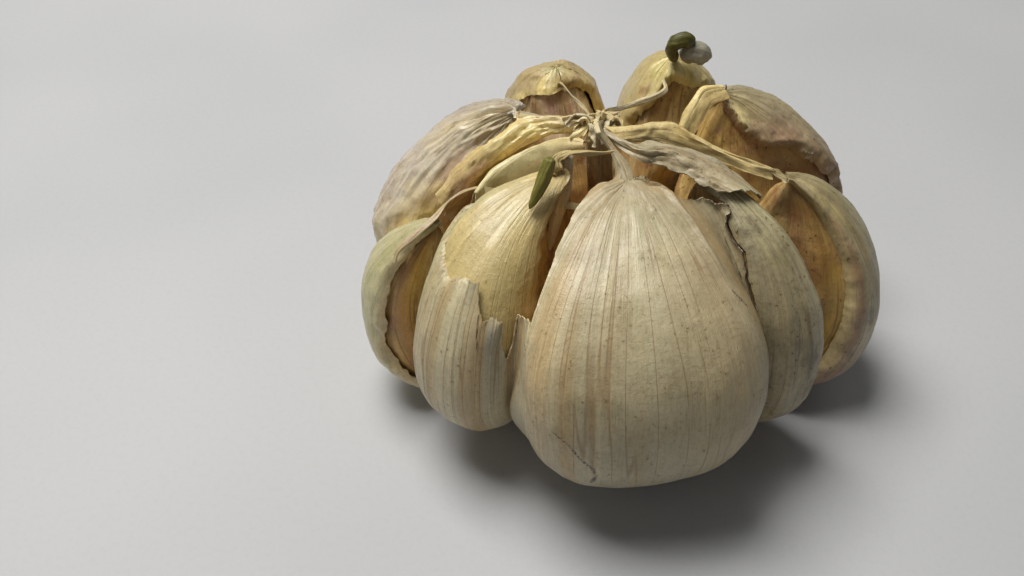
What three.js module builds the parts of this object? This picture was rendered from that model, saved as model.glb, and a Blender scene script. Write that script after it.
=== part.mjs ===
// Elephant garlic bulb: cloves in their papery leaves, ringed round a dried neck on a flat basal plate.
// Millimetres, +Z up. The origin is the centre of the basal plate's flat underside.
// Azimuths are degrees round the bulb's axis, from -Y towards +X, and radii are from that axis.
import * as THREE from "three";

const { lerp, degToRad, smoothstep } = THREE.MathUtils;

// Driving dimensions
const CLOVE_FOOT = 2.6; // height of the cloves' feet over the table
const FOOT_OUTER = 12; // the cloves' feet stand on the basal plate between these radii
const FOOT_INNER = 5.2;
const PLATE_FLAT = 10.5; // radius of the flat spot that the bulb rests on
const PLATE_RADIUS = 13;
const PLATE_TOP = 2.2;
const NECK_TOP = 47.5;
const NECK_LEAN = 3.6; // the dried neck leans this far towards -X
const NECK_RADII = [3.2, 3, 2.8, 2.4, 2.2, 2.2, 2.4, 1.4]; // from its foot to its dried end
const LEAF_THICKNESS = 0.55;
const LEAF_GAP = 0.4; // between a clove and its leaf, and between one leaf and the next
const LAYER = LEAF_THICKNESS + LEAF_GAP;
const NARROW = 4.8; // where half a clove's width is under this, its layers thin with it

// Facets
const AROUND = 18; // round a clove
const ALONG = 11; // from a clove's foot to its tip
const TAIL_ROWS = 4;
const STALK_SIDES = 9;
const PLATE_SIDES = 28;

// Shape that every clove shares
const BELLY_AT = 0.42; // share of a clove's length where its back is widest
const SECTION_POWER = 2.3; // 2 is an ellipse, more is squarer
const DISH = 1.6; // how far the hollow side is dished
const TIP_CLOSING = 0.8; // how far the last ring has closed on the tip

// half is half the angle that a clove takes up. tip is [radius, height]. inner is the radius of the hollow
// side, low down and high up. foot, blunt and flare shape the width at the foot, the tip and the shoulders,
// and sag and shoulder how far the back bulges below and above its belly.
const CLOVES = {
  front: {
    azimuth: 10.7, half: 28.4, reach: 44.5, belly: 19, tip: [10, 44.5], tipAzimuth: 10, inner: [6.5, 7],
    foot: 0.45, blunt: 0.3, flare: 1.4,
  },
  front_right: {
    azimuth: 54.5, half: 12.4, reach: 40.5, belly: 18, tip: [14, 44], tipAzimuth: 62, inner: [8, 9],
    blunt: 0.5, flare: 1.1,
  },
  right: {
    azimuth: 88.5, half: 17, reach: 46, belly: 15.5, tip: [27, 40], tipAzimuth: 90, inner: [10, 20],
    footAzimuth: 79, foot: 0.85, sag: 0.95, shoulder: 0.5,
  },
  back_right: {
    azimuth: 130, half: 20.5, reach: 46.5, belly: 20, tip: [25, 43], tipAzimuth: 138, inner: [8, 16],
  },
  back: {
    azimuth: 168, half: 16, reach: 43.5, belly: 21, tip: [30, 44], tipAzimuth: 165, inner: [8, 20],
    blunt: 0.6,
  },
  back_left: {
    azimuth: 203, half: 17, reach: 44, belly: 20, tip: [31, 41], tipAzimuth: 205, inner: [8, 20],
    blunt: 0.6,
  },
  left_back: {
    azimuth: 245.5, half: 23.5, reach: 45.5, belly: 18, tip: [20, 42.5], tipAzimuth: 240,
    inner: [20.5, 18.5], shoulder: 0.35,
  },
  left: {
    azimuth: 291.5, half: 13.2, reach: 43.8, belly: 17, tip: [31, 36], tipAzimuth: 297, inner: [21, 26],
    footAzimuth: 301, foot: 0.85, footRadius: 9.8, sag: 0.95,
  },
  front_left: {
    azimuth: 322.8, half: 16.5, reach: 42, belly: 18.5, tip: [12, 44.5], tipAzimuth: 315, inner: [7, 8],
    foot: 0.42, shoulder: 0.68, blunt: 0.42, flare: 1.15, wrapped: true,
  },
  inner: {
    azimuth: 283, half: 14, reach: 15.5, belly: 26, tip: [12, 45], tipAzimuth: 280, inner: [6.5, 8],
    footAzimuth: 276, foot: 0.8,
  },
};

// The papery leaf round the back of each clove. sides counts the facets that it takes up to each side of
// the back's middle. tail lists [radius, azimuth, height] along its dried end, which tapers from width.
const LEAVES = {
  front: { sides: [5, 5], width: 1.7, tail: [[8.4, 6, 46.4], [7.4, -8, 47.6], [6.6, -30, 48.4]] },
  front_right: { sides: [4, 5], width: 2.6, tail: [[14, 70, 45.6], [10, 66, 46.8], [6.4, 44, 47.2]] },
  right: { sides: [5, 4], width: 1.6, tail: [[25.5, 88, 41.2], [21, 90.5, 42], [15, 92, 42.4]] },
  back_right: { sides: [5, 5], width: 2.4, tail: [[24, 138, 44.4], [21, 140.5, 43], [19.8, 146, 37]] },
  back: { sides: [5, 5], width: 1.5, tail: [[27.4, 163, 44.5], [18, 158, 42.8], [7.6, 190, 45.8]] },
  back_left: { sides: [5, 5], width: 1.2, tail: [[28.6, 206, 42.4], [18, 212, 43], [8, 230, 45.6]] },
  left_back: { sides: [5, 4], width: 2.4, tail: [[19.4, 249, 43.6], [15, 251, 44.6], [7.6, 266, 46.8]] },
  left: { sides: [4, 5], width: 1.2, tail: [[30, 300, 37.4], [26.2, 293, 38], [23.2, 288.5, 38]] },
  front_left: { sides: [4, 5], width: 1.8, tail: [[12, 319, 45.8], [10.4, 322, 46.6], [8.8, 330, 47]] },
  inner: { sides: [4, 4], width: 1.2, tail: [[12, 284, 46.6], [10, 288, 46.8], [8, 296, 47]] },
};

// The torn lower half of the outermost leaf, over the front left clove. The edge that it is torn along
// runs at these heights, in facets up from the foot, from its left to its right.
const TORN_EDGE = [7, 7.1, 7, 7.2, 7.2, 7.3, 7.6, 7.8, 6.4, 6.5];
const WHOLE_ROWS = 6; // below the edge, these rows are whole
const TORN_ROWS = 2; // and these run up to it

// Shoots that have broken through the skins, along [radius, azimuth, height].
const SPROUTS = {
  sprout_front_left: {
    path: [[21.6, -36, 43.4], [19.2, -36.5, 45.4], [17.2, -38, 48], [16.3, -38.6, 50.2]],
    radii: [0.5, 1.2, 1.5, 1.4, 1, 0.4],
    color: 0x5f6b22,
  },
  sprout_back: {
    path: [[28.2, 162, 45.5], [27.4, 163.4, 47.6], [27.2, 162.4, 49.2], [27.6, 160, 49.6], [28.2, 159, 48.6]],
    radii: [0.8, 1.1, 1.3, 1.2, 1, 0.5],
    color: 0x5f6b22,
  },
  sprout_sheath_back: {
    path: [[30, 160, 45], [30.6, 158, 46.2], [31.2, 155.6, 46.2], [31.6, 154, 45]],
    radii: [0.6, 1.4, 1.6, 1.3, 0.5],
    color: 0xcfc7ae,
  },
};

const direction = (azimuth) =>
  new THREE.Vector3(Math.sin(degToRad(azimuth)), -Math.cos(degToRad(azimuth)), 0);

const place = ([radius, azimuth, height]) =>
  direction(azimuth).multiplyScalar(radius).setZ(height);

const profilePoint = (radius, height) => new THREE.Vector2(radius, height);

// The back and the hollow side of a clove at s, from 0 at its foot to 1 at its tip, as [radius, height].
function profiles(clove) {
  const [tipRadius, tipHeight] = clove.tip;
  const footInner = clove.footRadius ?? FOOT_INNER;
  const footOuter = Math.max(Math.min(FOOT_OUTER, clove.reach * 0.6), footInner + 2);
  const rise = tipHeight - clove.belly;
  const below = new THREE.CubicBezierCurve(
    profilePoint(footOuter, CLOVE_FOOT),
    profilePoint(lerp(footOuter, clove.reach, clove.sag ?? 0.75), CLOVE_FOOT),
    profilePoint(clove.reach, lerp(CLOVE_FOOT, clove.belly, 0.3)),
    profilePoint(clove.reach, clove.belly),
  );
  const above = new THREE.CubicBezierCurve(
    profilePoint(clove.reach, clove.belly),
    profilePoint(clove.reach, clove.belly + rise * (clove.shoulder ?? 0.6)),
    profilePoint(lerp(tipRadius, clove.reach, 0.5), tipHeight - rise * 0.02),
    profilePoint(tipRadius, tipHeight),
  );
  const inside = new THREE.CubicBezierCurve(
    profilePoint(footInner, CLOVE_FOOT),
    profilePoint(clove.inner[0], lerp(CLOVE_FOOT, tipHeight, 0.33)),
    profilePoint(clove.inner[1], lerp(CLOVE_FOOT, tipHeight, 0.75)),
    profilePoint(tipRadius, tipHeight),
  );
  return (s) => ({
    back: s < BELLY_AT ? below.getPoint(s / BELLY_AT) : above.getPoint((s - BELLY_AT) / (1 - BELLY_AT)),
    hollow: inside.getPoint(s),
  });
}

// Half a clove's width at s, at a radius, in millimetres.
function halfWidthAt({ half, foot = 0.62, blunt = 0.8, flare = 1 }, s, radius) {
  const above = (s - BELLY_AT) / (1 - BELLY_AT);
  const share = s < BELLY_AT
    ? lerp(foot, 1, Math.sin((s / BELLY_AT) * Math.PI * 0.5))
    : Math.cos(above * Math.PI * 0.5) ** blunt * lerp(1, flare, above);
  return radius * Math.tan(degToRad(half * share));
}

function azimuthAt({ azimuth, footAzimuth = azimuth, tipAzimuth }, s) {
  return s < BELLY_AT
    ? lerp(footAzimuth, azimuth, smoothstep(s, 0, BELLY_AT))
    : lerp(azimuth, tipAzimuth, smoothstep(s, BELLY_AT, 1));
}

const rounded = (value) => Math.sign(value) * Math.abs(value) ** (2 / SECTION_POWER);

// A point on a clove's outline. turn runs round it, 0 on the back and half a turn on the hollow side.
function outlinePoint(clove, s, turn) {
  const across = rounded(Math.sin(turn));
  const depth = rounded(Math.cos(turn));
  const { back, hollow } = profiles(clove)(s);
  const section = hollow.clone().lerp(back, (1 + depth) / 2);
  const dish = DISH * Math.max(-depth, 0) * (1 - across * across) * Math.sin(s * Math.PI);
  const azimuth = azimuthAt(clove, s);
  return direction(azimuth)
    .multiplyScalar(section.x + dish)
    .addScaledVector(direction(azimuth + 90), halfWidthAt(clove, s, section.x) * across)
    .setZ(section.y);
}

// The direction in which a clove's outline faces.
function facing(clove, s, turn) {
  const step = 0.01;
  const round = outlinePoint(clove, s, turn + step).sub(outlinePoint(clove, s, turn - step));
  const up = outlinePoint(clove, s + step, turn).sub(outlinePoint(clove, Math.max(s - step, 0), turn));
  return round.cross(up).normalize();
}

const turnAt = (column) => (column / AROUND) * Math.PI * 2;

// One corner of a clove's facets, let into its outline by inset where leaves cover it. Column 0 is on the
// back, row 0 at the foot, and the last row has nearly closed on the tip.
function corner(clove, row, column, inset) {
  const s = Math.min(row, ALONG - 1) / ALONG;
  const turn = turnAt(column);
  const covered = smoothstep(Math.cos(turn), -0.9, -0.4);
  const room = halfWidthAt(clove, s, profiles(clove)(s).back.x) / NARROW;
  const point = outlinePoint(clove, s, turn)
    .addScaledVector(facing(clove, s, turn), -inset * covered * Math.min(room, 1));
  if (row < ALONG) return point;
  const tip = outlinePoint(clove, 1, 0);
  tip.z -= inset / 2;
  return point.lerp(tip, TIP_CLOSING);
}

function closedGeometry(points, faces) {
  const geometry = new THREE.BufferGeometry().setFromPoints(points);
  geometry.setIndex(faces);
  geometry.computeVertexNormals();
  return geometry;
}

// A closed skin over rings with as many points each, and a fan over each end.
function loft(rings) {
  const count = rings[0].length;
  const points = rings.flat();
  const faces = [];
  for (let j = 0; j + 1 < rings.length; j += 1) {
    for (let k = 0; k < count; k += 1) {
      const a = j * count + k;
      const b = j * count + ((k + 1) % count);
      faces.push(a, b, b + count, a, b + count, a + count);
    }
  }
  [0, rings.length - 1].forEach((row, end) => {
    const middle = new THREE.Vector3();
    rings[row].forEach((p) => middle.addScaledVector(p, 1 / count));
    points.push(middle);
    for (let k = 0; k < count; k += 1) {
      const a = row * count + k;
      const b = row * count + ((k + 1) % count);
      faces.push(...(end ? [a, b] : [b, a]), points.length - 1);
    }
  });
  return closedGeometry(points, faces);
}

// A closed sheet between two grids of points, outer[row][column] and inner[row][column].
function sheet(outer, inner) {
  const rows = outer.length;
  const columns = outer[0].length;
  const under = rows * columns;
  const faces = [];
  const quad = (a, b, c, d) => faces.push(a, b, c, a, c, d);
  for (let j = 0; j + 1 < rows; j += 1) {
    for (let k = 0; k + 1 < columns; k += 1) {
      const a = j * columns + k;
      quad(a, a + 1, a + 1 + columns, a + columns);
      quad(a + under, a + columns + under, a + 1 + columns + under, a + 1 + under);
    }
    const left = j * columns;
    const right = left + columns - 1;
    quad(left, left + columns, left + columns + under, left + under);
    quad(right, right + under, right + columns + under, right + columns);
  }
  for (let k = 0; k + 1 < columns; k += 1) {
    const high = (rows - 1) * columns + k;
    quad(k, k + under, k + 1 + under, k + 1);
    quad(high, high + 1, high + 1 + under, high + under);
  }
  return closedGeometry([...outer.flat(), ...inner.flat()], faces);
}

const cloveInset = (clove) => (clove.wrapped ? 2 : 1) * LAYER;

function cloveGeometry(clove) {
  const inset = cloveInset(clove);
  const rings = Array.from({ length: ALONG + 1 }, (_, row) =>
    Array.from({ length: AROUND }, (_, column) => corner(clove, row, column, inset)),
  );
  return loft(rings);
}

// The rows of a leaf's dried end, flat and a little arched, on both of its faces.
function tailRows(tail, width, columns) {
  const curve = new THREE.CatmullRomCurve3(tail.map(place));
  const outer = [];
  const inner = [];
  for (let row = 0; row <= TAIL_ROWS; row += 1) {
    const along = row / TAIL_ROWS;
    const heading = curve.getTangent(along);
    const side = new THREE.Vector3(0, 0, 1).cross(heading).normalize();
    const lift = heading.clone().cross(side).normalize();
    const halfWidth = lerp(width, width * 0.4, along);
    inner.push(
      Array.from({ length: columns }, (_, k) => {
        const across = lerp(1, -1, k / (columns - 1));
        return curve
          .getPoint(along)
          .addScaledVector(side, across * halfWidth)
          .addScaledVector(lift, -0.3 * across * across);
      }),
    );
    outer.push(inner.at(-1).map((p) => p.clone().addScaledVector(lift, LEAF_THICKNESS)));
  }
  return [outer, inner];
}

function leafGeometry(clove, { sides: [left, right], width, tail }) {
  const columns = left + right + 1;
  const top = cloveInset(clove) - LAYER;
  const layer = (inset) =>
    Array.from({ length: ALONG }, (_, row) =>
      Array.from({ length: columns }, (_, k) => corner(clove, row, k - left, inset)),
    );
  const [tailOuter, tailInner] = tailRows(tail, width, columns);
  return sheet([...layer(top), ...tailOuter], [...layer(top + LEAF_THICKNESS), ...tailInner]);
}

function tornWrapperGeometry(clove) {
  const columns = TORN_EDGE.length;
  const layer = (inset) =>
    Array.from({ length: WHOLE_ROWS + TORN_ROWS + 1 }, (_, row) =>
      TORN_EDGE.map((edge, k) => {
        const at = row < WHOLE_ROWS ? row : lerp(WHOLE_ROWS, edge, (row - WHOLE_ROWS) / TORN_ROWS);
        const column = k - Math.floor(columns / 2);
        const low = corner(clove, Math.floor(at), column, inset);
        return low.lerp(corner(clove, Math.ceil(at), column, inset), at % 1);
      }),
    );
  return sheet(layer(0), layer(LEAF_THICKNESS));
}

// A round stalk along a curve, with a radius at each of its evenly spaced stations.
function stalk(points, radii) {
  const curve = new THREE.CatmullRomCurve3(points);
  const { normals, binormals } = curve.computeFrenetFrames(radii.length - 1);
  const rings = radii.map((radius, row) =>
    Array.from({ length: STALK_SIDES }, (_, k) => {
      const turn = (k / STALK_SIDES) * Math.PI * 2;
      return curve
        .getPointAt(row / (radii.length - 1))
        .addScaledVector(normals[row], Math.cos(turn) * radius)
        .addScaledVector(binormals[row], Math.sin(turn) * radius);
    }),
  );
  return loft(rings);
}

function basalPlateGeometry() {
  const profile = [
    profilePoint(0, 0),
    profilePoint(PLATE_FLAT, 0),
    profilePoint(PLATE_RADIUS - 0.6, 0.5),
    profilePoint(PLATE_RADIUS, 1.3),
    profilePoint(PLATE_RADIUS - 0.8, PLATE_TOP),
    profilePoint(0, PLATE_TOP),
  ];
  return new THREE.LatheGeometry(profile, PLATE_SIDES).rotateX(Math.PI / 2);
}

function neckGeometry() {
  const foot = PLATE_TOP + 0.3;
  const points = [
    new THREE.Vector3(0, 0, foot),
    new THREE.Vector3(0, 0, lerp(foot, NECK_TOP, 0.35)),
    new THREE.Vector3(-NECK_LEAN * 0.5, 0, lerp(foot, NECK_TOP, 0.7)),
    new THREE.Vector3(-NECK_LEAN, 0.5, NECK_TOP),
  ];
  return stalk(points, NECK_RADII);
}

const garlic = new THREE.Group();

function add(name, geometry, color, roughness) {
  const material = new THREE.MeshStandardMaterial({ color, roughness, metalness: 0 });
  const mesh = new THREE.Mesh(geometry, material);
  mesh.name = name;
  garlic.add(mesh);
}

add("basal_plate", basalPlateGeometry(), 0xa78d68, 0.9);
add("neck", neckGeometry(), 0xcdb98f, 0.8);
for (const [name, clove] of Object.entries(CLOVES)) {
  add(`clove_${name}`, cloveGeometry(clove), 0xb08a56, 0.55);
}
for (const [name, leaf] of Object.entries(LEAVES)) {
  add(`leaf_${name}`, leafGeometry(CLOVES[name], leaf), 0xd9cdb0, 0.65);
}
add("torn_wrapper", tornWrapperGeometry(CLOVES.front_left), 0xd9cdb0, 0.7);
for (const [name, { path, radii, color }] of Object.entries(SPROUTS)) {
  add(name, stalk(path.map(place), radii), color, 0.4);
}

export default garlic;
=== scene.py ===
import math
import random

import bmesh
import bpy
import numpy as np
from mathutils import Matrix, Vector, noise


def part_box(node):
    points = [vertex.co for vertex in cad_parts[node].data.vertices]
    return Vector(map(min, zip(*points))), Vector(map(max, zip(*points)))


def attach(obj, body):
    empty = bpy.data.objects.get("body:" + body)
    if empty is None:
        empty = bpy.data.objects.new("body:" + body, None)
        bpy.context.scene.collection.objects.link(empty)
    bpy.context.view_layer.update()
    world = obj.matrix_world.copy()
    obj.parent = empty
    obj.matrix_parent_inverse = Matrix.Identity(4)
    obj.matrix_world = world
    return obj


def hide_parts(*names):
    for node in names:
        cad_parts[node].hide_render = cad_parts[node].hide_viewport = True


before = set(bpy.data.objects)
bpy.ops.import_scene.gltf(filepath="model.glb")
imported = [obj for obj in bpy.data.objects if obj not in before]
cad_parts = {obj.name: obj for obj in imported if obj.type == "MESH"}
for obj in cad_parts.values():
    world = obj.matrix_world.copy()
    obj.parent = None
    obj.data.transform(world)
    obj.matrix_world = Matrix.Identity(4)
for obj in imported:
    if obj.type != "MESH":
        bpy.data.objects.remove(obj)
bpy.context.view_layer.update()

bpy.ops.object.select_all(action="DESELECT")


# ---------------------------------------------------------------------------
# The table, the lamps and the camera.
# The bulb stands on a plain pale table. The main lamp hangs behind it on the
# left, so its near underside lies in its own shade, and a soft sky fills in.

MM = 0.001
BULB_MIDDLE = Vector((0, 0, 0.022))
CAMERA_PLACE = Vector((0, -0.13406, 0.13449))
CAMERA_TURN = math.radians(7.458)
CAMERA_DIP = math.radians(42.473)
LENS = 35.156
TABLE_GREY = (0.56, 0.56, 0.57)
SKY_STRENGTH = 0.07


class Flow:
    """A value in a material. Sums written on it add their Math nodes."""

    def __init__(self, tree, socket=None):
        self.tree = tree
        self.socket = socket

    def node(self, kind, settings=None, out=0, **sockets):
        """Adds a node with its settings, then links or sets its numbered sockets (s0, s1 ...)."""
        made = self.tree.nodes.new(kind)
        for name, setting in (settings or {}).items():
            if name != "stops":
                setattr(made, name, setting)
                continue
            for place, colour in setting[1:-1]:
                made.color_ramp.elements.new(place).color = (*colour, 1)
            for end in (0, -1):
                made.color_ramp.elements[end].position = setting[end][0]
                made.color_ramp.elements[end].color = (*setting[end][1], 1)
        for name, value in sockets.items():
            socket = made.inputs[int(name[1:])]
            if isinstance(value, Flow):
                self.tree.links.new(value.socket, socket)
            elif isinstance(value, tuple) and socket.type == "RGBA":
                socket.default_value = (*value, 1)
            else:
                socket.default_value = value
        return Flow(self.tree, made.outputs[out])

    def sum(self, operation, first, second, third=0.0):
        settings = {"operation": operation}
        return self.node("ShaderNodeMath", settings, s0=first, s1=second, s2=third)

    def __add__(self, other):
        return self.sum("ADD", self, other)

    def __radd__(self, other):
        return self.sum("ADD", other, self)

    def __sub__(self, other):
        return self.sum("SUBTRACT", self, other)

    def __rsub__(self, other):
        return self.sum("SUBTRACT", other, self)

    def __mul__(self, other):
        return self.sum("MULTIPLY", self, other)

    def __rmul__(self, other):
        return self.sum("MULTIPLY", other, self)

    def near(self, level, width):
        """1 where the value is at the level, falling to 0 at that distance from it."""
        away = self.sum("ABSOLUTE", self - level, 0.0)
        return self.node("ShaderNodeMapRange", {"interpolation_type": "SMOOTHSTEP"},
                         s0=away, s1=0.0, s2=width, s3=1.0, s4=0.0)

    def above(self, low, high):
        """0 below the low value and 1 above the high one."""
        return self.node("ShaderNodeMapRange", {"interpolation_type": "SMOOTHSTEP"},
                         s0=self, s1=low, s2=high, s3=0.0, s4=1.0)

    def stretch(self, x, y, z):
        return self.node("ShaderNodeVectorMath", {"operation": "MULTIPLY"}, s0=self, s1=(x, y, z))

    def cloud(self, scale, detail=3.0, rough=0.55):
        return self.node("ShaderNodeTexNoise", {}, s0=self, s2=scale, s3=detail, s4=rough)

    def toward(self, colour, share):
        """This colour mixed with another by a share."""
        return self.node("ShaderNodeMix", {"data_type": "RGBA"}, out=2, s0=share, s6=self, s7=colour)

    def times(self, colour, share):
        """This colour multiplied by another, by a share."""
        settings = {"data_type": "RGBA", "blend_type": "MULTIPLY"}
        return self.node("ShaderNodeMix", settings, out=2, s0=share, s6=self, s7=colour)


def new_finish(name):
    """A material with its shader, and a Flow to add nodes with."""
    made = bpy.data.materials.new(name)
    made.use_nodes = True
    return made, made.node_tree.nodes["Principled BSDF"], Flow(made.node_tree)


def connect(flow, socket):
    flow.tree.links.new(flow.socket, socket)


def table_finish():
    made, shader, flow = new_finish("table")
    place = flow.node("ShaderNodeTexCoord", out=3)
    grain = place.cloud(900.0, 2.0)
    patches = place.cloud(9.0, 2.0)
    colour = flow.node("ShaderNodeRGB")
    colour.socket.default_value = (*TABLE_GREY, 1)
    shade = colour.toward((0.50, 0.505, 0.52), patches.above(0.3, 0.8))
    connect(shade.times((0.975, 0.975, 0.97), grain.above(0.45, 0.7)), shader.inputs["Base Color"])
    shader.inputs["Roughness"].default_value = 0.62
    return made


bpy.ops.mesh.primitive_plane_add(size=4, location=(0, 0, 0))
table = bpy.context.object
table.name = "table"
table.data.materials.append(table_finish())


def add_lamp(name, place, size, watts, colour):
    bpy.ops.object.light_add(type="AREA", location=place)
    lamp = bpy.context.object
    lamp.name = name
    lamp.data.size = size
    lamp.data.energy = watts
    lamp.data.color = colour
    lamp.rotation_euler = (BULB_MIDDLE - Vector(place)).to_track_quat("-Z", "Y").to_euler()


add_lamp("main_lamp", (-0.20, 0.10, 0.60), 0.34, 4.4, (1.0, 0.985, 0.95))
add_lamp("side_lamp", (0.30, 0.45, 0.40), 0.30, 0.2, (0.96, 0.98, 1.0))
add_lamp("near_lamp", (-0.35, -0.50, 0.40), 0.50, 0.25, (1.0, 0.98, 0.95))

world = bpy.data.worlds.new("room")
bpy.context.scene.world = world
world.use_nodes = True
sky = world.node_tree.nodes["Background"]
sky.inputs["Color"].default_value = (0.93, 0.96, 1.0, 1)
sky.inputs["Strength"].default_value = SKY_STRENGTH
seen = world.node_tree.nodes.new("ShaderNodeLightPath")
backdrop = world.node_tree.nodes.new("ShaderNodeBackground")
backdrop.inputs["Color"].default_value = (0.62, 0.62, 0.63, 1)
either = world.node_tree.nodes.new("ShaderNodeMixShader")
world.node_tree.links.new(seen.outputs["Is Camera Ray"], either.inputs[0])
world.node_tree.links.new(sky.outputs[0], either.inputs[1])
world.node_tree.links.new(backdrop.outputs[0], either.inputs[2])
world.node_tree.links.new(either.outputs[0], world.node_tree.nodes["World Output"].inputs[0])

bpy.ops.object.camera_add(location=CAMERA_PLACE)
camera = bpy.context.object
camera.data.lens = LENS
camera.data.clip_start = 0.01
looking_back = Vector((math.sin(CAMERA_TURN) * math.cos(CAMERA_DIP),
                       -math.cos(CAMERA_TURN) * math.cos(CAMERA_DIP),
                       math.sin(CAMERA_DIP)))
camera.rotation_euler = (-looking_back).to_track_quat("-Z", "Y").to_euler()
bpy.context.scene.camera = camera
bpy.context.scene.view_settings.view_transform = "Standard"


# ---------------------------------------------------------------------------
# The ten cloves.
# Each is a fleshy wedge in its own thin brown skin, grown on the root plate
# round the neck. Where its dry leaf has split, the skin shows, mottled and
# creased where it pressed against the next clove.

CORNERS = 18


def corner_rings(node):
    """A clove's solid as rings of corners from foot to tip. A ring starts at its outermost corner."""
    shell = bmesh.new()
    shell.from_mesh(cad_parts[node].data)
    bmesh.ops.remove_doubles(shell, verts=shell.verts, dist=2e-6)
    poles = [v for v in shell.verts if len(v.link_edges) == CORNERS]
    foot, tip = min(poles, key=lambda v: v.co.z), max(poles, key=lambda v: v.co.z)
    ring, seen_corners = {foot}, {foot}
    rings = [[foot.co.copy()] * CORNERS]
    while True:
        ring = {e.other_vert(v) for v in ring for e in v.link_edges} - seen_corners
        seen_corners |= ring
        if tip in ring:
            break
        middle = sum((v.co for v in ring), Vector()) / len(ring)
        heading = math.atan2(middle.x, -middle.y)

        def swing(v):
            return (math.atan2(v.co.x, -v.co.y) - heading + math.pi) % math.tau - math.pi

        outer = [v for v in ring if v.co.xy.length > middle.xy.length]
        walk = [min(outer, key=lambda v: abs(swing(v)))]
        beside = [e.other_vert(walk[0]) for e in walk[0].link_edges]
        walk.append(max((v for v in beside if v in ring), key=swing))
        while len(walk) < CORNERS:
            beside = [e.other_vert(walk[-1]) for e in walk[-1].link_edges]
            walk.append(next(v for v in beside if v in ring and v not in walk))
        rings.append([v.co.copy() for v in walk])
    rings.append([tip.co.copy()] * CORNERS)
    shell.free()
    return np.array(rings)


def blend_weights(t):
    """Shares of four points in a row for a smooth line through the middle two."""
    return ((-t + 2 * t**2 - t**3) / 2, (2 - 5 * t**2 + 3 * t**3) / 2,
            (t + 4 * t**2 - 3 * t**3) / 2, (-t**2 + t**3) / 2)


def surface(form, turn, rise):
    """Points on a clove: turn in degrees round it from its outermost line, rise from foot 0 to tip 1."""
    turn, rise = np.broadcast_arrays(turn, rise)
    rows = form.shape[0]
    column = turn / 360 * CORNERS
    row = np.clip(rise, 0, 1) * (rows - 1)
    first_column = np.floor(column).astype(int)
    first_row = np.minimum(np.floor(row).astype(int), rows - 2)
    columns = blend_weights(column - first_column)
    ranks = blend_weights(row - first_row)
    total = 0
    for j in range(4):
        for i in range(4):
            corner = form[np.clip(first_row - 1 + j, 0, rows - 1), (first_column - 1 + i) % CORNERS]
            total = total + (ranks[j] * columns[i])[..., None] * corner
    return total


def unit(vectors):
    return vectors / (np.linalg.norm(vectors, axis=-1, keepdims=True) + 1e-12)


def outward(form, turn, rise):
    """Which way the clove's skin faces at each point."""
    rise = np.clip(rise, 0.02, 0.975)
    around = surface(form, turn + 2, rise) - surface(form, turn - 2, rise)
    upward = surface(form, turn, rise + 0.01) - surface(form, turn, rise - 0.01)
    return unit(np.cross(around, upward))


def lumps(points, size, seed, octaves=2):
    """Soft irregular lumps, about -1 to 1, of that size in mm over points in metres."""
    flat = points.reshape(-1, 3) / (size * MM) + seed * 17.3
    heights = [noise.fractal(Vector(p), 0.7, 2.1, octaves) for p in flat]
    return np.array(heights).reshape(points.shape[:-1])


def folds(points, size, seed):
    """Sharp creases with soft hollows between them, about -1 to 1, as in crumpled paper."""
    return 1 - 3 * np.abs(lumps(points, size, seed, 3))


def fray(turn, rise, girth, length, seed, size=3.0):
    """How far a dry edge strays, about -1 to 1, at points of a leaf."""
    flat = np.stack([turn / 360 * girth, rise * length, np.zeros_like(turn)], -1) * MM
    return lumps(flat, size, seed, 4)


def streaks(turn, rise, girth, seed, per_mm=0.5, along=3.0):
    """Long creases that run from foot to tip, about -1 to 1."""
    angle = np.radians(turn)
    radius = girth / math.tau * per_mm
    lines = np.stack([radius * np.cos(angle), radius * np.sin(angle), rise * along + seed * 9.7], -1)
    heights = [noise.fractal(Vector(p), 0.8, 2.0, 2) for p in lines.reshape(-1, 3)]
    return np.array(heights).reshape(turn.shape)


def ease(low, high, value):
    share = np.clip((value - low) / (high - low), 0, 1)
    return share * share * (3 - 2 * share)


def washed(tone, turn, rise, washes, wobble):
    """Soft washes of colour at (turn, rise, turn spread, rise spread, colour, share)."""
    for at_turn, at_rise, turn_spread, rise_spread, colour, share in washes:
        across = (turn - at_turn + 180) % 360 - 180
        away = (across / turn_spread) ** 2 + ((rise - at_rise) / rise_spread) ** 2
        amount = share * np.exp(-np.clip(away * (1 + 0.7 * wobble), 0, 50))[..., None]
        tone = tone * (1 - amount) + np.array(colour) * amount
    return tone


def set_attribute(mesh, name, kind, field, values):
    made = mesh.attributes.new(name, kind, "POINT")
    made.data.foreach_set(field, np.ascontiguousarray(values, dtype=np.float32).ravel())


def dress(piece, tone, grain, wear, split=None):
    """Stores a piece's painted tone, the lie of its fibres, how worn it is, and the mm to its nearest crack,
    where the shader paints shadow.
    """
    tone = np.concatenate([np.clip(tone, 0, 1), np.ones(tone.shape[:-1] + (1,))], -1)
    set_attribute(piece.data, "tone", "FLOAT_COLOR", "color", tone)
    set_attribute(piece.data, "grain", "FLOAT_VECTOR", "vector", grain)
    set_attribute(piece.data, "wear", "FLOAT", "value", wear)
    set_attribute(piece.data, "split", "FLOAT", "value", np.full_like(wear, 3.0) if split is None else split)


def fibre_lie(turn, rise, girth, length):
    angle = np.radians(turn)
    radius = girth / math.tau
    return np.stack([radius * np.cos(angle), radius * np.sin(angle), rise * length], -1)


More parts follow.
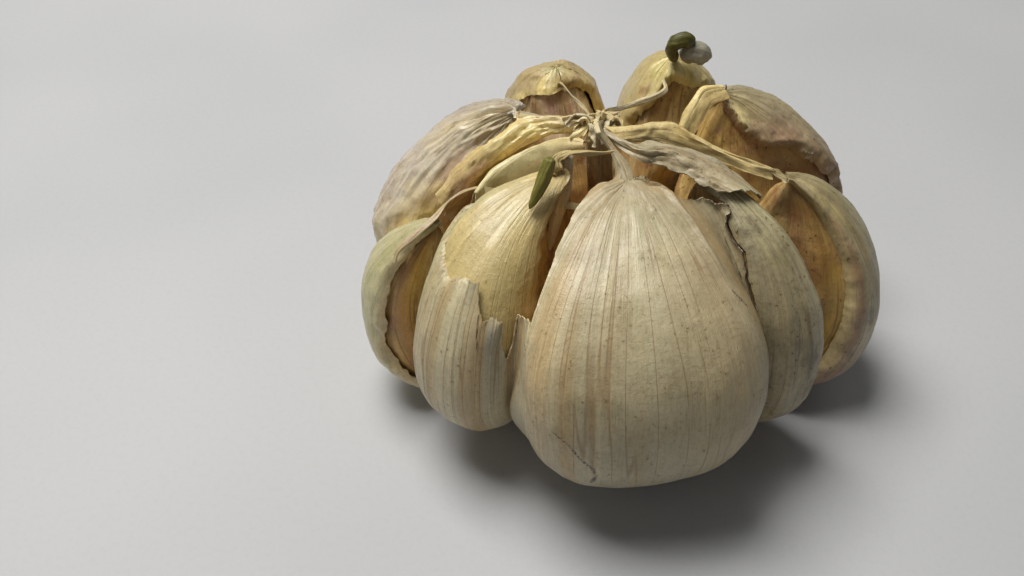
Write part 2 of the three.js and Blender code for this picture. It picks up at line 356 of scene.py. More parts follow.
def skin_finish(name, vein, vein_share, band, band_share, mottle, mottle_share,
                freckle_share=0.3, rough=0.5, bump=0.5, coat=0.0, wrinkle=0.5):
    """Dry plant skin: painted tone, long veins and bands along the fibres, mottling and freckles."""
    made, shader, flow = new_finish(name)
    tone = flow.node("ShaderNodeAttribute", {"attribute_name": "tone"}, out=0)
    grain = flow.node("ShaderNodeAttribute", {"attribute_name": "grain"}, out=1)
    wear = flow.node("ShaderNodeAttribute", {"attribute_name": "wear"}, out=2)
    split = flow.node("ShaderNodeAttribute", {"attribute_name": "split"}, out=2)
    place = flow.node("ShaderNodeTexCoord", out=3)
    threads = grain.stretch(1, 1, 0.03)
    patches = place.cloud(75.0, 4.0, 0.6)
    broken = place.cloud(50.0, 3.0, 0.6)
    veins = threads.cloud(0.50, 1.0).near(0.5, 0.025) * broken.above(0.42, 0.54)
    fine_veins = threads.cloud(1.5, 2.0).near(0.5, 0.05) * broken.above(0.60, 0.44)
    bands = threads.cloud(0.24, 2.0, 0.4).above(0.46, 0.66)
    pale_lines = threads.cloud(0.30, 1.0).near(0.58, 0.03)
    fibres = grain.stretch(1, 1, 0.12).cloud(3.2, 3.0, 0.7)
    felt = place.cloud(1500.0, 4.0, 0.75)
    crackle = place.stretch(1, 1, 0.6).cloud(620.0, 3.0, 0.6).near(0.5, 0.05)
    blotches = place.cloud(230.0, 4.0, 0.62)
    freckles = place.cloud(1500.0, 2.0, 0.5).above(0.66, 0.74)
    creases = grain.stretch(0.5, 0.5, 1.0).cloud(0.9, 4.0, 0.65)
    colour = tone.toward(band, bands * band_share)
    colour = colour.times((0.78, 0.77, 0.70), patches.above(0.50, 0.66) * (wear * 0.7 + 0.35))
    colour = colour.times((1.10, 1.08, 1.03), patches.above(0.50, 0.36) * 0.7)
    colour = colour.toward(mottle, blotches.above(0.48, 0.72) * (wear * 0.8 + 0.35) * mottle_share)
    colour = colour.times((1.22, 1.20, 1.16), pale_lines * 0.6)
    colour = colour.toward(vein, veins * vein_share)
    colour = colour.toward(vein, fine_veins * (vein_share * 0.25))
    colour = colour.times((0.78, 0.74, 0.68), fibres.above(0.42, 0.68) * 0.4)
    colour = colour.times((0.76, 0.72, 0.64), felt.above(0.44, 0.64) * (wear * 0.5 + 0.25))
    colour = colour.times((0.84, 0.78, 0.68), crackle * (wear * 0.25 + 0.10))
    colour = colour.times((0.32, 0.24, 0.16), freckles * freckle_share * (wear + 0.4))
    # Along each crack the colour goes near black: painted shadow inside the crack. The same line also dents the
    # bump.
    crack_and_painted_shadow = (split + place.cloud(900.0, 2.0) * 0.3 - 0.15).near(0.0, 0.3)
    colour = colour.toward((0.05, 0.032, 0.02), crack_and_painted_shadow * 0.92)
    connect(colour, shader.inputs["Base Color"])
    connect(fibres * 0.22 + (rough - 0.1) + wear * 0.1, shader.inputs["Roughness"])
    height = (fibres * 0.35 + fine_veins * -0.25 + veins * -0.4 + creases * wrinkle + felt * 0.32
              + crackle * (wrinkle * 0.16) + blotches * wear * 0.9 - crack_and_painted_shadow * 1.2)
    bumped = flow.node("ShaderNodeBump", {}, s0=bump, s1=0.25 * MM, s3=height)
    connect(bumped, shader.inputs["Normal"])
    shader.inputs["Specular IOR Level"].default_value = 0.42
    shader.inputs["Coat Weight"].default_value = coat
    shader.inputs["Coat Roughness"].default_value = 0.22
    return made


# Forms of the cloves, with the girth round the belly and the length from foot to tip in mm.
CLOVES = {
    "front": (102, 88),
    "front_right": (62, 78),
    "right": (69, 76),
    "back_right": (80, 79),
    "back": (64, 71),
    "back_left": (66, 69),
    "left_back": (77, 80),
    "left": (49, 66),
    "front_left": (68, 80),
    "inner": (20, 47),
}
FORMS = {name: corner_rings("clove_" + name) for name in CLOVES}


def swell(name, at_turn, at_rise, turn_spread, rise_spread, mm):
    """Fills out a clove's form at one place, or thins it there."""
    form = FORMS[name]
    rises, turns = np.meshgrid(np.linspace(0, 1, form.shape[0]), np.arange(CORNERS) * 360 / CORNERS,
                               indexing="ij")
    across = (turns - at_turn + 180) % 360 - 180
    amount = mm * np.exp(-(across / turn_spread) ** 2 - ((rises - at_rise) / rise_spread) ** 2)
    amount = amount * ease(0, 0.08, rises) * ease(0, 0.08, 1 - rises)
    FORMS[name] = form + outward(form, turns, rises) * (amount * MM)[..., None]


swell("front_left", -52, 0.74, 36, 0.12, 2.4)
swell("front", -80, 0.83, 30, 0.08, 1.2)
swell("front", 38, 0.24, 30, 0.15, -1.6)
swell("front_right", -56, 0.45, 26, 0.30, 1.7)

SKIN_TAN = (0.80, 0.57, 0.23)
SKIN_BROWN = (0.50, 0.29, 0.10)
SKIN_DARK = (0.24, 0.12, 0.045)
SKIN_PURPLE = (0.46, 0.21, 0.16)
SKIN_CREAM = (0.62, 0.52, 0.30)

clove_skin = skin_finish("clove_skin", (0.24, 0.11, 0.03), 0.6, (0.46, 0.25, 0.07), 0.6, (0.33, 0.13, 0.06),
                         0.95, freckle_share=0.8, rough=0.34, bump=0.7, coat=0.25)

# Washes: (turn, rise, turn spread, rise spread, colour, share). The dark brown washes at turn 180, on the inner
# faces round the neck, are the skin's own brown deepened as painted shade of the hollow.
CLOVE_WASHES = {
    "front": [(0, 0.5, 90, 1, SKIN_CREAM, 0.6), (180, 0.8, 80, 0.4, (0.40, 0.20, 0.05), 0.85),
              (75, 0.88, 30, 0.07, SKIN_BROWN, 0.8)],
    # The dark wash at turn -75 on the front right clove is painted shadow under the crack in the wrapper.
    "front_right": [(0, 0.5, 80, 1, SKIN_CREAM, 0.5), (-75, 0.7, 18, 0.3, SKIN_DARK, 0.6),
                    (-30, 0.93, 80, 0.06, SKIN_BROWN, 0.8)],
    "right": [(-100, 0.6, 26, 0.3, (0.42, 0.26, 0.11), 0.8), (-95, 0.60, 10, 0.25, (0.34, 0.15, 0.07), 0.7),
              (-84, 0.36, 7, 0.16, (0.38, 0.17, 0.08), 0.8), (-66, 0.44, 7, 0.17, (0.98, 0.68, 0.05), 0.97),
              (-74, 0.64, 5, 0.16, (0.30, 0.17, 0.04), 0.8), (-76, 0.27, 22, 0.09, SKIN_DARK, 0.8),
              (-90, 0.86, 30, 0.06, (0.40, 0.24, 0.06), 0.7)],
    "back_right": [(-140, 0.76, 46, 0.14, (0.96, 0.68, 0.22), 0.95),
                   (-80, 0.585, 22, 0.05, (0.20, 0.08, 0.04), 0.9),
                   (-100, 0.64, 16, 0.03, (0.26, 0.10, 0.06), 0.8), (-105, 0.71, 20, 0.03, SKIN_PURPLE, 0.7),
                   (-52, 0.56, 10, 0.08, SKIN_PURPLE, 0.9), (170, 0.75, 30, 0.15, (0.74, 0.50, 0.15), 0.8),
                   (-115, 0.55, 30, 0.2, (0.72, 0.46, 0.14), 0.7)],
    # The back clove's dark wash at turn 180 low down is painted shade of the hollow.
    "back": [(180, 0.42, 90, 0.13, (0.40, 0.20, 0.045), 0.85), (-140, 0.76, 30, 0.08, SKIN_BROWN, 0.8),
             (165, 0.62, 60, 0.12, (0.58, 0.44, 0.21), 0.8), (158, 0.765, 14, 0.035, SKIN_PURPLE, 0.9),
             (-100, 0.66, 20, 0.1, (0.50, 0.34, 0.14), 0.7)],
    # On the back left clove, the bright wash at turn 175 is painted light on the inner wall under the hood, and
    # the dark wash at turn 180 low down is painted shade of the hollow.
    "back_left": [(175, 0.72, 90, 0.14, (1.0, 0.80, 0.52), 1.0), (150, 0.77, 20, 0.05, (0.70, 0.36, 0.30), 0.7),
                  (180, 0.45, 90, 0.13, (0.34, 0.16, 0.035), 0.9)],
    "left_back": [(180, 0.8, 40, 0.3, (0.42, 0.21, 0.05), 0.8),
                  (108, 0.62, 12, 0.25, (0.34, 0.15, 0.09), 0.9), (140, 0.6, 22, 0.3, SKIN_DARK, 0.8)],
    "left": [(64, 0.5, 22, 0.5, (0.54, 0.26, 0.035), 0.95), (52, 0.62, 4, 0.12, SKIN_DARK, 0.85),
             (58, 0.42, 3, 0.12, SKIN_BROWN, 0.8), (70, 0.66, 10, 0.1, (0.74, 0.46, 0.10), 0.8),
             (180, 0.8, 60, 0.3, (0.36, 0.18, 0.04), 0.8), (44, 0.5, 4, 0.4, SKIN_DARK, 0.7),
             (50, 0.72, 9, 0.06, SKIN_DARK, 0.7)],
    "front_left": [(120, 0.7, 40, 0.35, (0.66, 0.43, 0.13), 0.9),
                   (180, 0.8, 45, 0.3, (0.42, 0.21, 0.05), 0.8), (75, 0.53, 14, 0.05, SKIN_BROWN, 0.8),
                   (130, 0.88, 30, 0.05, SKIN_BROWN, 0.8)],
    "inner": [(0, 0.6, 180, 1, (0.60, 0.32, 0.08), 0.7)],
}

# How far each clove has shrunk back from under its leaf: (turn, rise, turn spread, rise spread, mm).
CLOVE_HOLLOWS = {
    "back": [(-145, 0.74, 34, 0.09, 2.6)],
    "back_left": [(165, 0.74, 60, 0.07, 0.5), (110, 0.765, 18, 0.07, -0.9)],
    "back_right": [(-88, 0.58, 26, 0.1, 1.8)],
    "left_back": [(140, 0.6, 24, 0.3, 2.0)],
    "right": [(-95, 0.5, 20, 0.35, 0.8)],
}


def grow_clove(place):
    """One clove in its own skin: a ball drawn out over its form, then creased."""
    name, (girth, length) = place
    form = FORMS[name]
    seed = list(CLOVES).index(name)
    bpy.ops.mesh.primitive_uv_sphere_add(segments=108, ring_count=80, radius=1)
    clove = bpy.context.object
    clove.name = "clove_" + name + "_skin"
    ball = np.zeros(len(clove.data.vertices) * 3)
    clove.data.vertices.foreach_get("co", ball)
    ball = ball.reshape(-1, 3)
    turn = np.degrees(np.arctan2(ball[:, 1], ball[:, 0]))
    rise = 1 - np.arccos(np.clip(ball[:, 2], -1, 1)) / math.pi
    points = surface(form, turn, rise)
    faces = outward(form, turn, rise)
    fade = ease(0, 0.06, rise) * ease(0, 0.06, 1 - rise)
    inner = ease(50, 110, np.abs(turn))
    creases = streaks(turn, rise, girth, seed, 0.8, 4.0)
    dents = lumps(points, 5.0, seed, 3)
    lift = fade * (0.10 * creases + (0.10 + 0.30 * inner) * dents)
    for at_turn, at_rise, turn_spread, rise_spread, depth in CLOVE_HOLLOWS.get(name, []):
        across = (turn - at_turn + 180) % 360 - 180
        lift = lift - depth * np.exp(-(across / turn_spread) ** 2 - ((rise - at_rise) / rise_spread) ** 2)
    points = points + faces * (lift * MM)[:, None]
    clove.data.vertices.foreach_set("co", points.ravel())
    wobble = lumps(points, 4.0, seed + 40, 3)
    tone = np.ones(turn.shape + (3,)) * SKIN_TAN
    tone = tone * (1 + 0.25 * wobble[:, None])
    tone = washed(tone, turn, rise, CLOVE_WASHES[name], wobble)
    dress(clove, tone, fibre_lie(turn, rise, girth, length),
          np.clip(0.55 + 0.5 * wobble, 0, 1) * (0.4 + 0.6 * inner))
    clove.data.materials.append(clove_skin)
    bpy.ops.object.shade_smooth()
    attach(clove, "root")
    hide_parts("clove_" + name)


for place in CLOVES.items():
    grow_clove(place)


# ---------------------------------------------------------------------------
# The cream wrapper.
# One dry outer leaf is still whole over the front clove. It runs on to the
# left over the lower half of the next clove, where it is torn along the top,
# and to the right as far as a long crack. Its top gathers into a dry tail.

LAYER = 0.95


def torn(across, along, held):
    """Moves the grid's lines to the edge where the leaf is torn, and says which points are kept."""
    value = held(across, along)
    inside = value > 0
    new_across, new_along, kept = across.copy(), along.copy(), inside.copy()
    for down, side in ((0, 1), (0, -1), (1, 0), (-1, 0), (1, 1), (1, -1), (-1, 1), (-1, -1)):
        shift = (slice(max(down, 0), value.shape[0] + min(down, 0)),
                 slice(max(side, 0), value.shape[1] + min(side, 0)))
        back = (slice(max(-down, 0), value.shape[0] + min(-down, 0)),
                slice(max(-side, 0), value.shape[1] + min(-side, 0)))
        here, there = value[back], value[shift]
        reach = inside[shift] & ~kept[back]
        share = np.clip(here / np.where(reach, here - there, 1), 0, 1)
        new_across[back] = np.where(reach, across[back] + (across[shift] - across[back]) * share,
                                    new_across[back])
        new_along[back] = np.where(reach, along[back] + (along[shift] - along[back]) * share, new_along[back])
        kept[back] |= reach
    return new_across, new_along, kept


def lay_sheet(name, points, kept, tone, grain, wear, split=None, thickness=0.2):
    """A thin skin through a grid of points, without the points that are torn away."""
    rows, columns = kept.shape
    bpy.ops.mesh.primitive_grid_add(x_subdivisions=columns - 1, y_subdivisions=rows - 1, size=1)
    sheet = bpy.context.object
    sheet.name = name
    sheet.data.vertices.foreach_set("co", points.ravel())
    dress(sheet, tone, grain, wear, split)
    bpy.ops.object.mode_set(mode="EDIT")
    bpy.ops.mesh.select_mode(type="VERT")
    bpy.ops.mesh.select_all(action="DESELECT")
    bpy.ops.object.mode_set(mode="OBJECT")
    sheet.data.vertices.foreach_set("select", ~kept.ravel())
    bpy.ops.object.mode_set(mode="EDIT")
    bpy.ops.mesh.delete(type="VERT")
    bpy.ops.mesh.select_all(action="SELECT")
    bpy.ops.mesh.remove_doubles(threshold=0.02 * MM)
    bpy.ops.object.mode_set(mode="OBJECT")
    bpy.ops.object.modifier_add(type="SOLIDIFY")
    sheet.modifiers[0].thickness = thickness * MM
    sheet.modifiers[0].offset = -1
    bpy.ops.object.modifier_apply(modifier=sheet.modifiers[0].name)
    bpy.ops.object.shade_smooth_by_angle(angle=math.radians(60))
    return sheet


def finish_piece(piece, finish, slot, *nodes):
    piece.data.materials.append(finish)
    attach(piece, "root")
    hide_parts(*nodes)


def polar(points):
    """Stations (distance from the middle in mm, degrees round from the front, height in mm) as points."""
    return np.array([(r * math.sin(math.radians(a)), -r * math.cos(math.radians(a)), z)
                     for r, a, z in points]) * MM


def along_line(stations, share):
    """Points on a smooth line through the stations, from 0 at the first to 1 at the last."""
    stations = np.asarray(stations)
    position = np.clip(share, 0, 1) * (len(stations) - 1)
    first = np.minimum(np.floor(position).astype(int), len(stations) - 2)
    weights = blend_weights(position - first)
    return sum(weights[i][..., None] * stations[np.clip(first - 1 + i, 0, len(stations) - 1)]
               for i in range(4))


def ribbon(stations, share, side, width, twist, roll, seed):
    """Points on a dry strip that is rolled and twisted along a line: side runs from -0.5 to 0.5 across it."""
    middle = along_line(stations, share)
    ahead = unit(along_line(stations, share + 0.02) - along_line(stations, share - 0.02))
    across = unit(np.cross(ahead, (0, 0, 1.0)))
    up = np.cross(across, ahead)
    spin = np.broadcast_to(twist * share + 0.3 * np.sin(share * 9 + seed), side.shape)
    flat = across * np.cos(spin)[..., None] + up * np.sin(spin)[..., None]
    raised = up * np.cos(spin)[..., None] - across * np.sin(spin)[..., None]
    bend = side * roll * (1 + 0.25 * np.sin(share * 7 + 2 * seed))
    uneven = width * (1 + 0.16 * np.sin(share * 11 + seed) + 0.10 * np.sin(share * 23 + 3 * seed))
    creases = np.stack([side * 4.2 + 0.3 * np.sin(share * 5 + seed), share * 2.2, side * 0 + seed * 3.1], -1)
    creased = 0.10 * width * lumps(creases * MM, 1.0, seed, 2)
    offset = uneven * np.sin(bend) / roll
    height = uneven * (np.cos(bend) - 1) / roll + creased
    return middle + flat * (offset * MM)[..., None] + raised * (height * MM)[..., None]


CREAM = (0.66, 0.575, 0.37)
WRAPPER_GIRTH, WRAPPER_LENGTH = CLOVES["front"]
WRAPPER_DEGREES_PER_MM = 3.5
# Sheet turns: how far the sheet runs, and where the edges of its gathered top start.
WRAPPER_REACH = (-236, 122)
GATHERED_EDGES = (-165, 150)
WRAPPER_LEFT_EDGE = -58
WRAPPER_RIGHT_EDGE = 52
GUSSET = 42
LEFT_LANDING = 60
RIGHT_LANDING = -70

# Where the wrapper is torn along its top, as (sheet turn, rise), from its far left to the corner that still
# stands on the front clove.
TORN_TOP = ((-240, 0.76), (-222, 0.75), (-209, 0.735), (-206, 0.70), (-203, 0.675), (-188, 0.656),
            (-171, 0.644), (-163, 0.652), (-155, 0.656), (-147, 0.662), (-139, 0.664), (-137, 0.645),
            (-134, 0.63), (-131, 0.607), (-127, 0.600), (-120, 0.604), (-112, 0.597), (-111.3, 0.574),
            (-110.6, 0.548), (-106, 0.526), (-104, 0.506), (-102, 0.522), (-99, 0.542), (-97, 0.562),
            (-94, 0.595), (-87, 0.60), (-82, 0.613), (-76, 0.612), (-72, 0.626), (-66, 0.630), (-62, 0.612))
# Its left and right edges over the front clove: (rise, sheet turn).
FRONT_LEFT_EDGE = ((0.61, -61), (0.66, -62), (0.70, -62), (0.735, -64), (0.755, -67), (0.80, -70), (0.85, -78),
                   (0.88, -92), (0.92, -125), (0.96, -165), (2, -165))
FRONT_RIGHT_EDGE = ((0.0, 119), (0.25, 118), (0.342, 119), (0.40, 114.5), (0.412, 115), (0.46, 110),
                    (0.50, 109), (0.578, 104), (0.60, 105), (0.648, 101), (0.69, 103), (0.704, 104),
                    (0.72, 98), (0.734, 95), (0.768, 94.5), (0.785, 101), (0.80, 108), (0.82, 112),
                    (0.827, 100), (0.836, 86), (0.845, 74), (0.85, 66), (0.87, 60), (0.90, 75), (0.93, 110),
                    (0.96, 150), (2, 150))
FRONT_TAIL = polar([(12, 4, 44.6), (9.1, 3, 45.3), (6.5, -11.7, 47), (5.8, -35.4, 49), (5.4, -47.8, 50)])


def read_line(points, value):
    xs, ys = zip(*points)
    return np.interp(value, xs, ys)


def at_height(form, turn, height):
    """The rise at which a clove's line at that turn reaches the height."""
    rises = np.linspace(0.02, 0.98, 300)
    return np.interp(height, surface(form, np.full(300, float(turn)), rises)[:, 2], rises)


LEFT_SHIFT = WRAPPER_LEFT_EDGE - GUSSET - LEFT_LANDING
RIGHT_SHIFT = WRAPPER_RIGHT_EDGE + GUSSET - RIGHT_LANDING


def bridge(start, start_way, end, end_way, share, reach):
    """A sheet that leaves one clove and lands on the next in one smooth dip."""
    gap = np.linalg.norm(end - start, axis=-1, keepdims=True) * reach
    s = share[..., None]
    return ((2 * s**3 - 3 * s**2 + 1) * start + (s**3 - 2 * s**2 + s) * start_way * gap
            + (3 * s**2 - 2 * s**3) * end + (s**3 - s**2) * end_way * gap)


def wrapper_points(turn, rise):
    """Points of the wrapper over the front clove, the clove on its left and the edge of that on its right."""
    front, left, right = FORMS["front"], FORMS["front_left"], FORMS["front_right"]
    body = np.clip(rise, 0, 0.985)

    def lifted(form, at_turn, at_rise, lift):
        return surface(form, at_turn, at_rise) + outward(form, at_turn, at_rise) * (lift * MM)

    def heading(form, at_turn, at_rise):
        return unit(surface(form, at_turn + 3, at_rise) - surface(form, at_turn - 3, at_rise))

    points = lifted(front, turn, body, LAYER)
    left_edge, right_edge = np.full_like(turn, WRAPPER_LEFT_EDGE), np.full_like(turn, WRAPPER_RIGHT_EDGE)
    left_rise = at_height(left, LEFT_LANDING, surface(front, left_edge, body)[..., 2])
    right_rise = at_height(right, RIGHT_LANDING, surface(front, right_edge, body)[..., 2])
    left_turn = turn - LEFT_SHIFT
    over_left = lifted(left, left_turn, left_rise, 2 * LAYER)
    landing = np.full_like(turn, LEFT_LANDING)
    share = np.clip((turn - WRAPPER_LEFT_EDGE + GUSSET) / GUSSET, 0, 1)
    dip = bridge(lifted(left, landing, left_rise, 2 * LAYER), heading(left, landing, left_rise),
                 lifted(front, left_edge, body, LAYER), heading(front, left_edge, body), share, 0.9)
    low = (1 - ease(0.64, 0.70, rise))[..., None]
    in_gusset = ((turn < WRAPPER_LEFT_EDGE) & (turn >= WRAPPER_LEFT_EDGE - GUSSET))[..., None]
    points = np.where(in_gusset, dip * low + points * (1 - low), points)
    points = np.where((turn < WRAPPER_LEFT_EDGE - GUSSET)[..., None] & (rise < 0.75)[..., None], over_left,
                      points)

    right_turn = turn - RIGHT_SHIFT
    over_right = lifted(right, right_turn, right_rise, LAYER)
    landing = np.full_like(turn, RIGHT_LANDING)
    share = np.clip((turn - WRAPPER_RIGHT_EDGE) / GUSSET, 0, 1)
    dip = bridge(lifted(front, right_edge, body, LAYER), heading(front, right_edge, body),
                 lifted(right, landing, right_rise, LAYER), heading(right, landing, right_rise), share, 0.8)
    low = (1 - ease(0.86, 0.91, rise))[..., None]
    in_gusset = ((turn > WRAPPER_RIGHT_EDGE) & (turn <= WRAPPER_RIGHT_EDGE + GUSSET))[..., None]
    points = np.where(in_gusset, dip * low + points * (1 - low), points)
    return np.where((turn > WRAPPER_RIGHT_EDGE + GUSSET)[..., None] & (rise < 0.88)[..., None], over_right,
                    points)


def facing(points):
    """Which way a grid of points faces."""
    return unit(np.cross(np.gradient(points, axis=1), np.gradient(points, axis=0)))


def gather(points, turn, rise, edges, tail, width, twist, start=0.90, roll=2.2, seed=1):
    """Draws the top of a leaf together into its tail. A rise over 1 runs along the tail to 2."""
    left, right = edges
    side = np.clip((turn - left) / (right - left), 0, 1) - 0.5
    share = np.clip((rise - start) / (2 - start), 0, 1)
    narrowing = width * (1.9 - 1.1 * ease(0, 0.5, share) - 0.3 * share)
    strip = ribbon(tail, share, side, narrowing, twist, roll, seed)
    drawn = ease(start, 1.03, rise)[..., None]
    return points * (1 - drawn) + strip * drawn


def wrapper_edge(turn, rise):
    """Above 0 on the wrapper, in degrees from its edge."""
    frayed = fray(turn, rise, WRAPPER_GIRTH, WRAPPER_LENGTH, 12, 2.2)
    top = read_line(TORN_TOP, turn) + 0.010 * frayed
    low_part = np.where(turn < -61, (top - rise) * 260, 90)
    high_part = turn - read_line(FRONT_LEFT_EDGE, rise) + np.where(rise < 0.85, 2.2 * frayed, 0)
    strayed = np.where(rise < 0.8, 1.6, 3.5) * frayed
    right_part = read_line(FRONT_RIGHT_EDGE, rise + 0.008 * frayed) - turn + strayed
    return np.minimum(np.where(turn < -100, low_part, np.where(rise < 0.61, low_part, np.maximum(
        np.where(turn < -61, low_part, -99), high_part))), right_part)


# Short cracks in the wrapper, which the shader draws as thin dark lines of painted shadow: lines of (sheet
# turn, rise).
CRACKS = (((-34, 0.485), (-27, 0.468), (-22, 0.44), (-17.5, 0.425), (-16, 0.405), (-18, 0.375)),
          ((84, 0.735), (86, 0.715), (89, 0.69), (94, 0.665), (97, 0.64)),
          ((97, 0.465), (103, 0.47), (109, 0.45)), ((46, 0.70), (52, 0.665)),
          ((-131, 0.607), (-130, 0.57), (-128, 0.545)), ((-63, 0.60), (-58, 0.585)))


def crack_distance(turn, rise, degrees_per_mm, length):
    """How far each point lies from the nearest crack, in mm, up to 3."""
    nearest = np.full_like(turn, 3.0)
    here = np.stack([turn / degrees_per_mm, rise * length], -1)
    for line in CRACKS:
        for (turn_a, rise_a), (turn_b, rise_b) in zip(line, line[1:]):
            start = np.array((turn_a / degrees_per_mm, rise_a * length))
            run = np.array((turn_b / degrees_per_mm, rise_b * length)) - start
            share = np.clip(((here - start) @ run) / (run @ run), 0, 1)
            nearest = np.minimum(nearest, np.linalg.norm(here - start - share[..., None] * run, axis=-1))
    return nearest


def make_wrapper():
    across = np.linspace(*WRAPPER_REACH, 308)
    along = np.concatenate([np.linspace(0.03, 1.0, 188), np.linspace(1.02, 2.0, 40)])
    turn, rise = np.meshgrid(across, along)
    turn, rise, kept = torn(turn, rise, wrapper_edge)
    points = wrapper_points(turn, rise)
    edge = np.clip(wrapper_edge(turn, rise), 0, 60)
    ribs = streaks(turn, rise, WRAPPER_GIRTH, 3, 0.35, 1.6)
    fine = streaks(turn, rise, WRAPPER_GIRTH, 8, 1.0, 3.0)
    dents = lumps(points, 9.0, 5, 2)
    top = ease(0.72, 0.95, rise)
    curl = np.where(turn < -148, -1.1, 0.35) * np.exp(-edge / 3.0) * ease(0.45, 0.6, rise)
    flap = np.exp(-((turn + 116) / 7) ** 2 - ((rise - 0.585) / 0.03) ** 2)
    # Past turn 85, split also follows the right edge, so a dark line is painted there: partly the edge's own
    # brown, partly painted shadow of the crack beside it.
    split = np.minimum(crack_distance(turn, rise, WRAPPER_DEGREES_PER_MM, WRAPPER_LENGTH),
                       np.where(turn > 85, edge / WRAPPER_DEGREES_PER_MM, 3))
    lift = (0.12 - 0.04 * top) * ribs + 0.04 * fine + (0.25 + 0.2 * top) * dents + curl
    lift = lift + 0.25 * top * folds(points, 7.0, 6) + 0.2 * np.exp(-split) + 1.1 * flap
    ridge = np.exp(-((turn - read_line(((0.6, 45), (0.78, 50), (0.86, 57), (0.95, 80)), rise)) / 3.2) ** 2)
    lift = lift + 0.55 * ridge * ease(0.70, 0.8, rise)
    filled = 1.8 * np.exp(-((turn + 80) / 15) ** 2) * (1 - ease(0.40, 0.52, rise))
    filled = filled + 1.5 * np.exp(-((turn - 72) / 14) ** 2) * (1 - ease(0.55, 0.70, rise))
    lift = lift + filled * ease(0.06, 0.2, rise)
    points = points + facing(points) * (lift * MM * ease(0.0, 0.1, rise))[..., None]
    points = gather(points, turn, rise, GATHERED_EDGES, FRONT_TAIL, 3.4, 1.0, seed=4)
    wobble = lumps(points, 6.0, 21, 3)
    tone = np.ones(turn.shape + (3,)) * CREAM * (1 + 0.10 * wobble[..., None])
    tone = washed(tone, turn, rise, [
        (-10, 0.74, 34, 0.16, (0.76, 0.69, 0.47), 0.7),
        (10, 0.83, 30, 0.05, (0.46, 0.45, 0.27), 0.55),
        (20, 0.62, 14, 0.3, (0.60, 0.45, 0.25), 0.45),
        (-12, 0.66, 7, 0.2, (0.58, 0.43, 0.23), 0.45),
        (55, 0.8, 14, 0.05, (0.50, 0.44, 0.29), 0.6),
        # The three darker washes from turn 62 to 96 are painted shade on the front clove's right flank.
        (74, 0.60, 22, 0.26, (0.32, 0.255, 0.145), 0.8),
        (96, 0.66, 16, 0.18, (0.34, 0.28, 0.165), 0.8),
        (62, 0.60, 26, 0.22, (0.42, 0.34, 0.19), 0.7),
        (10, 0.54, 60, 0.14, (0.47, 0.395, 0.235), 0.8),
        (-30, 0.90, 60, 0.05, (0.78, 0.66, 0.44), 0.5),
        (30, 0.90, 30, 0.04, (0.60, 0.47, 0.29), 0.6),
        (0, 0.36, 80, 0.14, (0.50, 0.46, 0.345), 0.7),
        (-120, 0.57, 9, 0.045, (0.36, 0.345, 0.29), 0.9),
        (-112, 0.50, 14, 0.06, (0.46, 0.43, 0.35), 0.7),
        (-45, 0.66, 10, 0.2, (0.66, 0.47, 0.23), 0.65), (38, 0.72, 12, 0.1, (0.52, 0.41, 0.25), 0.6),
        (32, 0.5, 8, 0.3, (0.60, 0.47, 0.27), 0.45),
        (-2, 0.7, 5, 0.16, (0.74, 0.66, 0.43), 0.6),
        (0, 0.18, 90, 0.14, (0.50, 0.46, 0.36), 0.6),
        (-165, 0.62, 40, 0.12, (0.66, 0.61, 0.40), 0.5),
        (-210, 0.55, 26, 0.3, (0.50, 0.53, 0.28), 0.6),
        (95, 0.55, 16, 0.3, (0.42, 0.38, 0.27), 0.5),
        (-80, 0.45, 14, 0.2, (0.52, 0.48, 0.36), 0.5),
    ], wobble)
    tone = tone * 0.93
    pale_edge = (np.exp(-edge / 2.2) * ease(0.5, 0.6, rise) * (turn < 60))[..., None]
    tone = tone * (1 - 0.6 * pale_edge) + np.array((0.80, 0.70, 0.42)) * 0.6 * pale_edge
    wear = np.clip(0.35 + 0.5 * wobble + 0.4 * ease(60, 100, turn), 0, 1)
    lie = fibre_lie(turn, rise, WRAPPER_GIRTH, WRAPPER_LENGTH)
    return lay_sheet("cream_wrapper", points, kept, tone, lie, wear, split)


cream_paper = skin_finish("cream_paper", (0.32, 0.20, 0.09), 0.6, (0.49, 0.35, 0.17), 0.8,
                          (0.36, 0.30, 0.18), 0.5, freckle_share=0.6, rough=0.35, bump=0.5, wrinkle=0.7,
                          coat=0.12)
finish_piece(make_wrapper(), cream_paper, "cream_paper", "leaf_front", "torn_wrapper")


# ---------------------------------------------------------------------------
# The dry leaves of the other cloves.
# Each clove has a papery leaf that wraps its outer side and gathers into a
# tail at the top. The leaves have split on the inner side and dried back.


def lip_height(edge):
    """How an edge that has dried rolls over, from below 0 at the edge to 1 a little way in, with edge in mm."""
    return edge / 2.0 * np.exp(1 - edge / 2.0) - 0.7 * np.exp(-(edge / 1.1) ** 2)


# Spacing of the grid that a leaf is laid on, in mm.
ACROSS_STEP = 0.40
ALONG_STEP = 0.47


